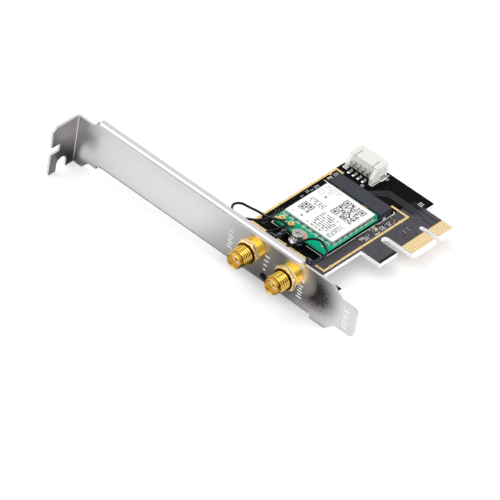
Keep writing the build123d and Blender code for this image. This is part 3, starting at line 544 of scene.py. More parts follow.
def repeated(one, centres, z):
    """The same grid of points moved to each centre at one height."""
    shift = np.array([(*centre, z) for centre in centres], float)
    return one[None] + shift[:, None, None, :]


def rings(name, centres, inner, outer, top, rise, material, slot, columns=20):
    """Flat rings: a square profile between two radii and two heights, carried round each centre."""
    turn = np.linspace(0, 2 * np.pi, columns, endpoint=False)
    radius = np.array([inner, inner, outer, outer])[:, None]
    height = np.array([top - SUNK, top + rise, top + rise, top - SUNK])[:, None] * np.ones(columns)
    one = np.stack([radius * np.cos(turn), radius * np.sin(turn), height], axis=-1)
    faces = grid_faces(len(centres), 4, columns, True, True)
    return built(name, repeated(one, centres, 0.0), faces, material)


def lumps(name, centres, half_x, half_y, height, z, material):
    """Solder: the upper part of a rounded box, each coordinate a cosine or sine raised to a power."""
    lat = np.linspace(-np.pi / 2, np.pi / 2, 9)[:, None]
    lon = np.linspace(-np.pi, np.pi, 20, endpoint=False)[None]

    def power(value, exponent):
        return np.sign(value) * np.abs(value) ** exponent

    x = half_x * power(np.cos(lat), 0.5) * power(np.cos(lon), 0.45)
    y = half_y * power(np.cos(lat), 0.5) * power(np.sin(lon), 0.45)
    h = np.maximum(height * power(np.sin(lat), 0.9), -0.05) * np.ones_like(lon)
    points = repeated(np.stack([x, y, h], axis=-1), centres, z)
    return built(name, points, grid_faces(len(centres), 9, 20, False, True), material, sharp=60)


def hexagon_radius(turn, across_flats):
    """Centre to side of a hexagon: half the flats over the cosine of the angle to the side's middle."""
    sixth = np.pi / 3
    return across_flats / 2 / np.cos(np.mod(turn, sixth) - sixth / 2)


def turned(name, stations, x, turn_deg, material, columns=192, pitch=0.0, depth=0.0):
    """Body turned about the jack's axis from stations: y, radius, and where given, flats and thread share.

    The radius is the smaller of the station's and the hexagon's, where it has flats, less a triangle
    wave that advances one pitch a turn."""
    full = [(*station, 0, 0)[:4] for station in stations]
    y, radius, flats, threaded = (np.array(column, float)[:, None] for column in zip(*full))
    turn = np.linspace(0, 2 * np.pi, columns, endpoint=False)[None]
    r = np.where(flats > 0, np.minimum(radius, hexagon_radius(turn, flats)), radius)
    if pitch:
        phase = np.mod(y / pitch - turn / (2 * np.pi), 1.0)
        r = r - threaded * depth * (1 - np.abs(2 * phase - 1))
    angle = turn + np.radians(turn_deg)
    points = np.stack([x + r * np.cos(angle), y + 0 * r, JACK_Z - r * np.sin(angle)], axis=-1)
    faces = grid_faces(1, len(stations), columns, False, True)
    return built(name, points, faces, material, sharp=28)


def carried(name, centre, radius, material, columns=32):
    """Tube of changing radius: circles square to the path, whose side is its direction crossed with up."""
    run = np.gradient(centre, axis=0)
    run /= np.linalg.norm(run, axis=1, keepdims=True)
    side = np.cross(run, [0, 0, 1.0])
    side /= np.linalg.norm(side, axis=1, keepdims=True)
    up = np.cross(side, run)
    turn = np.linspace(0, 2 * np.pi, columns, endpoint=False)[None, :, None]
    r = radius[:, None, None]
    points = centre[:, None] + r * (np.cos(turn) * side[:, None] + np.sin(turn) * up[:, None])
    return built(name, points, grid_faces(1, len(centre), columns, False, True), material, sharp=45)


def coat(nodes, material):
    """Gives carried-over nodes a finished material."""
    for name in nodes:
        for slot in NODES[name].material_slots:
            slot.material = material


# Settings


class CardColours(bpy.types.PropertyGroup):
    nickel: FloatVectorProperty(name="Nickel", description="Bracket's plating", subtype="COLOR",
                                default=(0.69, 0.676, 0.671), min=0, max=1)
    gold: FloatVectorProperty(name="Gold", description="Jacks' plating", subtype="COLOR",
                              default=(0.93, 0.63, 0.13), min=0, max=1)
    line_gold: FloatVectorProperty(name="Board gold", description="Gold on the board and its contacts",
                                   subtype="COLOR", default=paint("f6d795"), min=0, max=1)
    mask: FloatVectorProperty(name="Solder mask", description="Black of the adapter board", subtype="COLOR",
                              default=(0.002, 0.002, 0.0025), min=0, max=1)
    pour: FloatVectorProperty(name="Covered copper", description="Mask where copper lies under it",
                              subtype="COLOR", default=(0.1, 0.094, 0.108), min=0, max=1)
    module: FloatVectorProperty(name="Module green", description="Radio module's solder mask",
                                subtype="COLOR", default=paint("00b48c"), min=0, max=1)
    label: FloatVectorProperty(name="Label", description="Printed film on the module", subtype="COLOR",
                               default=paint("ffffff"), min=0, max=1)
    ink: FloatVectorProperty(name="Ink", description="Print on the label", subtype="COLOR",
                             default=paint("1c1c1e"), min=0, max=1)
    socket: FloatVectorProperty(name="Socket", description="Slate plastic of the module's socket",
                                subtype="COLOR", default=paint("272935"), min=0, max=1)
    header: FloatVectorProperty(name="Header", description="Ivory plastic of the side header",
                                subtype="COLOR", default=paint("edece6"), min=0, max=1)
    silk: FloatVectorProperty(name="White print", description="White lines printed on the boards",
                              subtype="COLOR", default=paint("fdfdfb"), min=0, max=1)


class CardSizes(bpy.types.PropertyGroup):
    thread_pitch: FloatProperty(name="Thread pitch", description="From one thread crest to the next, mm",
                                default=0.82, min=0.3, max=1.5)
    thread_depth: FloatProperty(name="Thread depth", description="Depth of the jacks' thread, mm",
                                default=0.4, min=0.05, max=0.5)
    print_height: FloatProperty(name="Print height", description="Thickness of the white print, mm",
                                default=0.025, min=0.005, max=0.1)
    mark_height: FloatProperty(name="Mark height", description="How far the bracket's marks stand out, mm",
                               default=0.05, min=0.01, max=0.3)
    lead_diameter: FloatProperty(name="Lead", description="Diameter of the coaxial leads", unit="LENGTH",
                                 default=0.00081, min=0.0005, max=0.002, precision=5)


class StageSettings(bpy.types.PropertyGroup):
    key: FloatProperty(name="Key light", description="Power of the large light above", unit="POWER",
                       default=3.6, min=0, max=100)
    fill: FloatProperty(name="Fill light", description="Power of the light from the front", unit="POWER",
                        default=1.6, min=0, max=100)
    side: FloatProperty(name="Side light", description="Power of the light from the right", unit="POWER",
                        default=4.2, min=0, max=100)
    sky: FloatProperty(name="Surround", description="Strength of the even light all round",
                       default=0.66, min=0, max=3)
    lens: FloatProperty(name="Lens", description="Focal length of the camera, mm", default=318.773,
                        min=50, max=800)


def card_colour(key):
    """One of the card's colours as plain numbers."""
    return tuple(getattr(bpy.context.scene.card_colours, key))


def sizes():
    """The card's sizes that a user may change."""
    return bpy.context.scene.card_sizes


def silk_material():
    """White ink printed on the boards."""
    found = bpy.data.materials.get("white_print")
    return found or moulded("white_print", card_colour("silk"), 0.55)


# Operators


class CARD_OT_stage(bpy.types.Operator):
    """Camera, soft lights, dark flags for the metal and a plain pale floor"""
    bl_idname = "card.stage"
    bl_label = "Stage"

    def execute(self, context):
        settings = context.scene.stage_settings
        self.camera(context, settings.lens)
        self.floor()
        self.world(context, settings.sky)
        self.light("key_light", (-0.5, -0.2, 0.9), 0.9, settings.key)
        self.light("fill_light", (0.15, -0.75, 0.45), 0.5, settings.fill)
        self.light("side_light", (0.88, -0.25, 0.16), 0.5, settings.side).visible_glossy = False
        self.flag("dark_flag_right", (0.42, -0.10, 0.25), 0.28)
        self.flag("dark_flag_front", (-0.10, -0.55, 0.12), 0.16)
        self.dark_ground()
        self.dark_foot()
        context.scene.view_settings.view_transform = "Standard"
        return {"FINISHED"}

    def camera(self, context, lens):
        """Right, up and forward axes from the view's azimuth, elevation and roll."""
        a, e, roll = (math.radians(v) for v in VIEW_ANGLES)
        forward = np.array([-math.sin(a) * math.cos(e), math.cos(a) * math.cos(e), -math.sin(e)])
        flat = np.array([math.cos(a), math.sin(a), 0.0])
        rise = np.cross(flat, forward)
        right = flat * math.cos(roll) + rise * math.sin(roll)
        up = rise * math.cos(roll) - flat * math.sin(roll)
        middle = VIEW_TARGET + VIEW_SHIFT[0] * right + VIEW_SHIFT[1] * up - VIEW_DISTANCE * forward
        data = bpy.data.cameras.new("view_camera")
        data.sensor_fit = "HORIZONTAL"
        data.sensor_width = 36.0
        data.lens = lens
        data.clip_start = 0.05
        data.clip_end = 20.0
        camera = linked("view_camera", data)
        camera.matrix_world = self.turned_to(metres(middle), right, up, forward)
        context.scene.camera = camera

    def turned_to(self, place, right, up, forward):
        """Matrix of an object at a place that looks forward, with its own right and up."""
        turn = Matrix(np.stack([right, up, -forward], axis=1).tolist()).to_4x4()
        return Matrix.Translation(place) @ turn

    def aimed(self, place):
        """Matrix of an object that looks at the origin, level from side to side."""
        forward = -np.array(place, float)
        forward /= np.linalg.norm(forward)
        right = np.cross(forward, [0, 0, 1.0])
        right /= np.linalg.norm(right)
        return self.turned_to(place, right, np.cross(right, forward), forward)

    def sheet(self, name, low, high, z=0.0):
        """Flat rectangle between two corners in X and Y."""
        corners = [(low[0], low[1], z), (high[0], low[1], z), (high[0], high[1], z), (low[0], high[1], z)]
        mesh = bpy.data.meshes.new(name)
        mesh.from_pydata(corners, [], [(0, 1, 2, 3)])
        return linked(name, mesh)

    def floor(self):
        """Flat square 6 m wide; seen straight or in metal it is a little lighter than its paint."""
        floor = self.sheet("floor", (-3.0, -3.0), (3.0, 3.0))
        r = Recipe("floor_paint")
        rays = ("Is Camera Ray", "Is Glossy Ray", "Is Transmission Ray")
        camera, glossy, through = (r.node("ShaderNodeLightPath", out=ray) for ray in rays)
        seen = camera.larger(glossy).larger(through)
        r.shade(Base_Color=(0.86, 0.86, 0.86), Roughness=0.9, Specular_IOR_Level=0.0)
        glow = r.node("ShaderNodeEmission", None, {"Color": (1.0, 1.0, 1.0), "Strength": seen * 0.3})
        added = r.node("ShaderNodeAddShader", None, {0: Wire(r, r.shader.outputs[0]), 1: glow})
        r.feed(r.tree.nodes["Material Output"].inputs["Surface"], added)
        floor.data.materials.append(r.material)

    def world(self, context, sky):
        """Even pale surround that is plain white where it is seen straight or in metal."""
        world = bpy.data.worlds.new("surround")
        context.scene.world = world
        world.use_nodes = True
        tree = world.node_tree
        back = tree.nodes["Background"]
        path = tree.nodes.new("ShaderNodeLightPath")
        seen = tree.nodes.new("ShaderNodeMath")
        seen.operation = "MAXIMUM"
        tree.links.new(path.outputs["Is Camera Ray"], seen.inputs[0])
        tree.links.new(path.outputs["Is Glossy Ray"], seen.inputs[1])
        strength = tree.nodes.new("ShaderNodeMapRange")
        tree.links.new(seen.outputs[0], strength.inputs["Value"])
        strength.inputs["To Min"].default_value = sky
        strength.inputs["To Max"].default_value = 1.0
        back.inputs["Color"].default_value = (1, 1, 1, 1)
        tree.links.new(strength.outputs[0], back.inputs["Strength"])

    def light(self, name, place, size, power):
        """Square soft light turned to face the card."""
        data = bpy.data.lights.new(name, "AREA")
        data.size = size
        data.energy = power
        lamp = linked(name, data)
        lamp.matrix_world = self.aimed(place)
        return lamp

    def flag(self, name, place, half):
        """Dark card seen only in metal and gloss, which gives them contrast."""
        card = self.sheet(name, (-half, -half), (half, half))
        card.matrix_world = self.aimed(place)
        self.only_in_metal(card, Recipe(name + "_cloth"), (0.02, 0.02, 0.02))

    def dark_ground(self):
        """Soft dark field low in front of the jacks, whose cover fades out to its rim."""
        low, high = metres([(40, -60, -3.6), (112, -1.5, -3.6)])
        r = Recipe("dark_ground_cloth")
        where, (x, y, _) = r.place()
        warp = (r.noise(where, 0.12, 3.0) - 0.5) * 9.0
        along = x + warp
        cover = along.above(60.0, 26.0) * (1 - along.above(95.5, 10.0))
        cover = cover * (1 - (y + warp * 0.3).above(-2.5, 4.0))
        self.only_in_metal(self.sheet("dark_ground", low, high, low[2]), r, (0.03, 0.022, 0.022), cover * 0.9)

    def dark_foot(self):
        """Narrow dark strip under the bracket's lower bend, in place of its own contact shadow."""
        low, high = metres([(-4, -3.3, -3.7), (123, 5, -3.7)])
        card = self.sheet("dark_foot", low, high, low[2])
        self.only_in_metal(card, Recipe("dark_foot_cloth"), (0.03, 0.03, 0.03), 0.8)

    def only_in_metal(self, card, r, shade, cover=1.0):
        """Dull cloth that only metal and gloss see."""
        card.data.materials.append(
            r.shade(Base_Color=shade, Roughness=1.0, Specular_IOR_Level=0.0, Alpha=cover))
        card.visible_camera = False
        card.visible_diffuse = False
        card.visible_shadow = False
        card.visible_transmission = False


class CARD_OT_bracket(bpy.types.Operator):
    """Plated bracket with its raised marks"""
    bl_idname = "card.bracket"
    bl_label = "Bracket"

    def execute(self, context):
        coat(["mounting_bracket"], nickel_plate(card_colour("nickel")))
        # Raised marks: a matte finish, painted pale grey as a highlight for the light that their edges catch.
        raised = moulded("frosted_marks", (0.86, 0.86, 0.86), 0.6, 0.02)
        self.numeral("jack_numeral_1", "1", 68.9, 10.6, raised)
        self.numeral("jack_numeral_2", "2", 98.4, 10.4, raised)
        self.bars(raised)
        return {"FINISHED"}

    def numeral(self, name, digit, base_x, low_z, material):
        """Digit whose own x runs up the plate and whose own y runs back along it, one mark height proud."""
        proud = sizes().mark_height
        curve = bpy.data.curves.new(name, "FONT")
        curve.body = digit
        curve.size = 2.9
        curve.extrude = proud / 2
        text = linked(name + "_outline", curve)
        bpy.context.view_layer.update()
        mesh = bpy.data.meshes.new_from_object(text.evaluated_get(bpy.context.evaluated_depsgraph_get()))
        bpy.data.objects.remove(text)
        co = np.zeros(len(mesh.vertices) * 3)
        mesh.vertices.foreach_get("co", co)
        across, along, out = co.reshape(-1, 3).T
        placed = np.stack([base_x - along, -proud / 2 - out, low_z + across], axis=1)
        mesh.vertices.foreach_set("co", metres(placed).ravel())
        mesh.update()
        mesh.materials.clear()
        mesh.materials.append(material)
        piece = linked(name, mesh)
        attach(piece, "root")

    def bars(self, material):
        """Plain bars: five before each numeral, four growing by the light and a ladder at the tongue."""
        thick = 0.42
        strokes = [(x, low + i * 1.15, 2.1 - 0.7 * (i % 2), thick)
                   for i in range(5) for x, low in ((67.9, 4.9), (97.4, 4.3))]
        strokes += [(83.1 + 0.15 * (i - 3), 5.6 + i * 1.8, 1.0 + 0.35 * i, thick) for i in range(4)]
        for i in range(4):
            strokes += [(116.2, 4.6 + i * 2.2, 2.0, thick), (115.4 + 0.5 * i, 5.7 + 2.2 * (i % 3), 0.36, 1.2)]
        x, z, long, wide = np.array(strokes).T
        low = np.stack([x - long / 2, np.full(len(x), -sizes().mark_height), z - wide / 2], axis=1)
        high = np.stack([x + long / 2, np.zeros(len(x)), z + wide / 2], axis=1)
        ring = [(0, 0), (1, 0), (1, 1), (0, 1)]
        pick = np.array([(*place, level) for level in (0, 1) for place in ring])
        points = low[:, None] + pick[None] * (high - low)[:, None]
        built("bracket_marks", points, box_faces(len(x)), material, heal=False)


class CARD_OT_adapter_board(bpy.types.Operator):
    """Black board: mask, covered copper, white print, vias and gold"""
    bl_idname = "card.adapter_board"
    bl_label = "Adapter board"

    def execute(self, context):
        pour = card_colour("pour")
        coat(["adapter_board"], solder_mask(card_colour("mask"), pour))
        line = polished_gold("board_gold", card_colour("line_gold"), 0.3)
        coat(["guard_line"], line)
        contacts = polished_gold("contact_gold", paint("ffe9bb"), 0.3)
        coat(["edge_contacts_upper", "edge_contacts_lower"], contacts)
        self.traces(covered_copper(scaled(pour, 0.55)))
        self.print_lines(silk_material())
        self.vias(line)
        self.guard_gaps()
        return {"FINISHED"}

    def traces(self, material):
        """Covered copper lines from the socket and the header to the contacts, and two short bundles."""
        paths = []
        for i in range(4):
            y = 63.4 - 0.72 * i
            paths.append([(75.6 + 0.6 * i, 56.6), (80.4 + 0.5 * i, y - 0.6), (81.2 + 0.5 * i, y), (96.6, y),
                          (97.4, y + 0.3), (101.2, y + 0.3)])
        for i in range(5):
            y = 48.3 + i
            paths.append([(101.2, y), (99.4 - i * 0.4, y), (97.6 - i * 0.4, 50.0 + i * 0.8)])
        for i in range(3):
            y = 57.6 + i * 0.6
            paths.append([(88.9, y), (92.0, y), (96.0, y + 0.4), (101.2, 59.0 + i * 0.2)])
        for i in range(3):
            x = 64.6 + i * 0.5
            paths.append([(x, 19.2), (x, 26.0 + i), (63.6 + i * 0.4, 28.0 + i)])
        ribbons("board_traces", paths, 0.28, BOARD_TOP, 0.035, material)

    def print_lines(self, material):
        """White outlines of the module, socket and header, and short strokes beside the small parts."""
        lines = [
            [(66.7, 22.0), (74.6, 22.0)], [(81.4, 22.0), (89.0, 22.0), (89.0, 47.0)],
            [(88.75, 47.4), (89.35, 48.2), (89.35, 56.2), (88.6, 56.8)], [(66.7, 22.0), (66.7, 25.0)],
            [(66.2, 50.4), (66.2, 55.8), (67.2, 56.4)], [(63.1, 60.8), (63.1, 69.6)],
            [(75.7, 60.8), (75.7, 69.4)], [(63.1, 60.8), (64.9, 60.8)], [(74.3, 60.8), (75.7, 60.8)],
            [(91.9, 43.5), (92.3, 43.5), (92.3, 45.5), (91.9, 45.5)], [(89.4, 43.5), (89.8, 43.5)],
            [(89.4, 43.5), (89.4, 45.5)], [(63.7, 50.9), (65.5, 50.9)], [(63.7, 53.9), (65.5, 53.9)],
        ]
        height = sizes().print_height
        ribbons("board_print_lines", lines, 0.32, BOARD_TOP, height, material)
        rng = np.random.default_rng(7)
        groups = [(91.2, 47.2, 3, 3), (91.2, 39.4, 3, 3), (91.6, 66.0, 3, 3), (64.4, 46.0, 2, 3),
                  (64.2, 55.6, 2, 3), (76.6, 67.2, 2, 2), (91.2, 50.8, 3, 2), (64.0, 42.2, 2, 2),
                  (73.4, 58.6, 2, 2)]
        marks = []
        for x, y, across, along in groups:
            for i in range(across):
                for j in range(along):
                    px, py = x + i * 0.62 - 0.4, y + j * 0.72 - 0.4
                    tall, wide = rng.uniform(0.25, 0.5), rng.uniform(0.2, 0.45)
                    marks += [[(px, py), (px, py + tall)], [(px, py), (px + wide, py)]]
        ribbons("board_print_marks", marks, 0.2, BOARD_TOP, height, material)

    def vias(self, gold):
        """Small plated holes: dark where the mask covers them, gold where they are bare."""
        dark = [(90.4, 62.8), (96.3, 63.9), (96.0, 59.5), (95.2, 54.3), (97.1, 55.2), (96.2, 49.3),
                (98.3, 50.4), (98.5, 47.3), (100.1, 49.4), (100.2, 54.3), (92.6, 68.7), (81.6, 65.2),
                (86.7, 66.3), (63.6, 36.0), (63.6, 31.4), (70.4, 57.6), (84.6, 58.6), (91.6, 24.4),
                (91.4, 29.8), (91.3, 34.6), (98.4, 38.4)]
        cover = covered_copper((0.004, 0.004, 0.005))
        rings("covered_vias", dark, 0.14, 0.3, BOARD_TOP, 0.03, cover, "board_black")
        bare = [(90.2, 53.7), (91.5, 53.7), (91.0, 51.8), (92.2, 52.6)]
        rings("bare_vias", bare, 0.12, 0.24, BOARD_TOP, 0.03, gold, "contact_gold")

    def guard_gaps(self):
        """Thin dark gaps across the gold line, with one at its far end."""
        edges = (GUARD_X[1] - GUARD_WIDTH, GUARD_X[0])
        gaps = [[(x, y), (x + GUARD_WIDTH, y)] for x in edges for y in np.arange(25.5, 54.0, 5.2)]
        ends = [(x, GUARD_Y[0]) for x in np.arange(66.0, 92.0, 5.0)] + [(89.5, GUARD_Y[1] - GUARD_WIDTH)]
        gaps += [[(x, y), (x, y + GUARD_WIDTH)] for x, y in ends]
        dark = covered_copper((0.02, 0.012, 0.006))
        ribbons("guard_line_gaps", gaps, 0.12, BOARD_TOP, 0.062, dark, sunk=0)


class CARD_OT_radio_module(bpy.types.Operator):
    """Radio module: green board, metal can, printed label, coaxial plugs, screw and standoff"""
    bl_idname = "card.radio_module"
    bl_label = "Radio module"

    def execute(self, context):
        coat(["module_board"], green_mask(card_colour("module")))
        coat(["module_ring_pad"], moulded("bare_copper", paint("f0b48c"), 0.35, 0.05))
        coat(["module_shield"], tinned("can_metal", 0.72, 0.3))
        coat(["module_label"], printed_label(card_colour("label"), card_colour("ink")))
        coat(["module_small_parts"], chip_bodies())
        gold = polished_gold("coax_gold", paint("e8c070"), 0.24)
        coat(["coax_receptacle_1", "coax_receptacle_2"], gold)
        stamped = plug_metal(paint("efcf8c"))
        for number, (centre, heading) in enumerate(zip(PLUG_CENTRES, PLUG_HEADINGS), 1):
            self.plug(number, centre, heading, stamped)
        coat(["module_screw", "ear_screws"], tinned("screw_metal", 0.5, 0.22))
        coat(["standoff"], tinned("standoff_metal", 0.84, 0.24))
        self.edge_vias(gold)
        self.pads(gold, silk_material())
        return {"FINISHED"}

    def plug(self, number, centre, heading, metal):
        """Snap-on plug: a stamped cap with a dimple and four lobes, by the cosine of four times the angle,
        and a crimped barrel along its heading, oval where it is pressed."""
        turn = np.linspace(0, 2 * np.pi, 48, endpoint=False)[None]
        profile = ((0.0, 0.32, 0), (0.9, 0.32, 0.3), (1.14, 0.36, 1), (1.18, 0.5, 1), (1.16, 0.82, 1),
                   (1.06, 0.94, 1), (0.86, 0.98, 0.8), (0.62, 0.94, 0.4), (0.5, 0.8, 0), (0.4, 0.62, 0),
                   (0.2, 0.56, 0), (0.0, 0.55, 0))
        radius, height, lobes = (np.array(v)[:, None] for v in zip(*profile))
        r = radius * (1 - lobes * 0.11 * (1 - np.cos(4 * turn + 0.8)) / 2)
        x = centre[0] + r * np.cos(turn)
        y = centre[1] + r * np.sin(turn)
        cap = np.stack([x, y, MODULE_TOP + height + 0 * r], axis=-1)
        ahead = np.array([math.sin(math.radians(heading)), math.cos(math.radians(heading)), 0.0])
        beside = np.array([ahead[1], -ahead[0], 0.0])
        stations = ((-0.55, 0.0, 0.0), (-0.55, 0.42, 0.34), (-1.15, 0.44, 0.36), (-1.25, 0.6, 0.36),
                    (-1.7, 0.62, 0.34), (-1.82, 0.46, 0.42), (-2.28, 0.5, 0.44), (-2.33, 0.45, 0.42),
                    (-2.33, 0.0, 0.0))
        reach, wide, tall = (np.array(v)[:, None, None] for v in zip(*stations))
        spin = turn[..., None]
        barrel = np.array([*centre, PLUG_AXIS_Z]) + reach * ahead + wide * np.cos(spin) * beside
        barrel = barrel + tall * np.sin(spin) * np.array([0, 0, 1.0])
        cap_faces, barrel_faces = (grid_faces(1, len(rows), 48, False, True) for rows in (profile, stations))
        points = np.concatenate([cap.reshape(-1, 3), barrel.reshape(-1, 3)])
        faces = np.concatenate([cap_faces, barrel_faces + cap.size // 3])
        piece = built(f"stamped_plug_{number}", points, faces, metal, sharp=50)
        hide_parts(f"coax_plug_{number}")

    def edge_vias(self, gold):
        """Row of small bare holes along both long edges and the near edge of the module."""
        centres = [(x, y) for x in (67.15, 88.85) for y in np.arange(25.5, 47.5, 1.9)]
        centres += [(x, 25.3) for x in np.arange(76.5, 88.0, 1.9)]
        rings("module_edge_vias", centres, 0.1, 0.2, MODULE_TOP, 0.02, gold, "coax_gold", columns=12)

    def pads(self, gold, white):
        """Bare pads, the copper arc round the screw, the can's soldered foot and white strokes."""
        bare = [[(86.0, 23.6), (86.9, 23.6)], [(86.0, 24.4), (86.9, 24.4)], [(71.2, 22.4), (71.2, 24.0)],
                [(67.3, 22.3), (67.3, 23.2)]]
        ribbons("module_bare_pads", bare, 0.4, MODULE_TOP, 0.03, gold)
        cx, cy = MODULE_SCREW
        arc = [(cx + 2.5 * math.cos(a), cy + 2.5 * math.sin(a)) for a in np.radians(np.arange(0, 181, 7.5))]
        copper = moulded("ring_copper", paint("f4bc9a"), 0.35, 0.05)
        ribbons("module_ring", [arc], 0.95, MODULE_TOP, 0.045, copper)
        foot = [[(x, 25.92), (x + 2.0, 25.92)] for x in np.arange(67.7, 87.0, 2.55)]
        foot += [[(x, y), (x, y + 2.0)] for x in (67.45, 88.55) for y in np.arange(26.4, 46.4, 2.55)]
        pale = moulded("can_solder", paint("e9ece8"), 0.35, 0.05)
        ribbons("can_foot", foot, 0.34, MODULE_TOP, 0.04, pale)
        places = (70.1, 72.7, 75.9, 77.3, 80.2, 82.6, 83.6, 85.6, 86.6)
        strokes = [[(x, 48.0), (x + 0.5, 48.0)] for x in places]
        strokes += [[(75.4, 22.6), (75.9, 22.6)], [(81.0, 22.6), (82.0, 22.6)], [(83.0, 24.6), (85.0, 24.6)]]
        ribbons("module_print", strokes, 0.22, MODULE_TOP, 0.02, white)


class CARD_OT_module_socket(bpy.types.Operator):
    """Socket of the radio module with its tinned leads and faint mould marks"""
    bl_idname = "card.module_socket"
    bl_label = "Module socket"

    def execute(self, context):
        slate = card_colour("socket")
        coat(["socket_housing"], moulded("slate_plastic", slate, 0.5))
        coat(["socket_contacts", "socket_hold_downs", "chip_terminals"], tinned("tin_plate", 0.8, 0.28))
        grey = moulded("pale_slate", scaled(slate, 2.4), 0.5)
        xs = 73.0 + np.arange(7) * 1.2
        marks = [[(x, 51.6), (x, 53.0)] for x in xs] + [[(x, 52.5), (x + 0.7, 52.5)] for x in xs[::2]]
        ribbons("socket_marks", marks, 0.22, SOCKET_TOP, 0.02, grey)
        return {"FINISHED"}


class CARD_OT_header(bpy.types.Operator):
    """White side header with solder on its pads"""
    bl_idname = "card.side_header"
    bl_label = "Side header"

    def execute(self, context):
        coat(["header_housing"], moulded("ivory_nylon", card_colour("header"), 0.36, 0.05))
        # Painted shade: the pins and solder tabs are tin painted darker than the solder on the pads.
        coat(["header_contacts", "header_solder_tabs"], tinned("header_tin", 0.42, 0.2))
        bright = tinned("fresh_solder", 0.86, 0.2)
        feet = [(x, 60.75) for x in (66.35, 68.35, 70.35, 72.35)]
        lumps("header_solder", feet, 0.55, 1.25, 0.32, BOARD_TOP, bright)
        lumps("header_tab_solder", [(62.95, 66.3), (75.75, 66.3)], 0.7, 1.5, 0.4, BOARD_TOP, bright)
        return {"FINISHED"}


class CARD_OT_jacks(bpy.types.Operator):
    """Antenna jacks: threaded shells, nuts, washers, insulators and pins"""
    bl_idname = "card.jacks"
    bl_label = "Antenna jacks"

    def execute(self, context):
        gold = jack_plate(card_colour("gold"))
        white = moulded("insulator_white", paint("fdf4ec"), 0.35, 0.05)
        for number, (x, turn) in enumerate(zip(JACK_X, NUT_TURNS), 1):
            self.shell(number, x, gold)
            self.nut(number, x, turn, gold)
            coat([f"jack_{number}_washer", f"jack_{number}_ferrule", f"jack_{number}_pin"], gold)
            coat([f"jack_{number}_insulator"], white)
        return {"FINISHED"}

    def shell(self, number, x, gold):
        """Mouth, plain lip, undercut, thread at its pitch, then the hexagonal flange, neck and crimp stem."""
        pitch, depth = sizes().thread_pitch, sizes().thread_depth
        bore, crest, flats = 2.3, 3.175, 8.0
        stations = [(-7.05, 0.0), (-7.05, bore), (-9.3, bore), (-9.45, 2.38), (-9.5, 2.5), (-9.48, 2.62),
                    (-9.38, 2.72), (-9.25, 2.75), (-8.95, 2.75), (-8.93, 2.6), (-8.78, 2.6), (-8.76, 2.95),
                    (-8.42, 2.95), (-8.4, 2.66), (-8.2, 2.66), (-8.18, 2.78)]
        for y in np.linspace(-8.16, -3.6, 96):
            rise = min(1.0, (y + 8.16) / 0.4)
            stations.append((y, 2.82 + (crest - 2.82) * rise, 0, rise))
        stations += [(-3.59, 2.95), (1.36, 2.95), (1.361, 4.15, flats), (1.72, 4.62, flats),
                     (3.2, 4.62, flats), (3.559, 4.15, flats), (3.56, 2.6), (4.7, 2.6), (4.86, 2.45),
                     (4.861, 1.1), (8.46, 1.1), (8.46, 0.0)]
        piece = turned(f"jack_{number}_shell", stations, x, 0.0, gold, 144, pitch, depth)
        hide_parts(f"jack_{number}_body")

    def nut(self, number, x, turn, gold):
        """Hexagonal nut, grooved round its middle, on a round collar, with its corners cut by a cone."""
        bore, flats, corner = 2.98, 8.0, 4.62
        stations = [(-0.15, bore), (-3.45, bore), (-3.6, 3.15), (-3.6, 3.92, flats), (-3.45, 4.2, flats),
                    (-3.2, corner, flats), (-2.74, corner, flats), (-2.72, 4.4, 7.75), (-2.58, 4.4, 7.75),
                    (-2.56, corner, flats), (-2.0, corner, flats), (-1.75, 4.2, flats),
                    (-1.6, 3.92, flats), (-1.6, 3.88), (-0.1, 3.88), (0.0, 3.8), (0.0, 3.15), (-0.15, bore)]
        piece = turned(f"jack_{number}_hex_nut", stations, x, turn, gold)
        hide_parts(f"jack_{number}_nut")


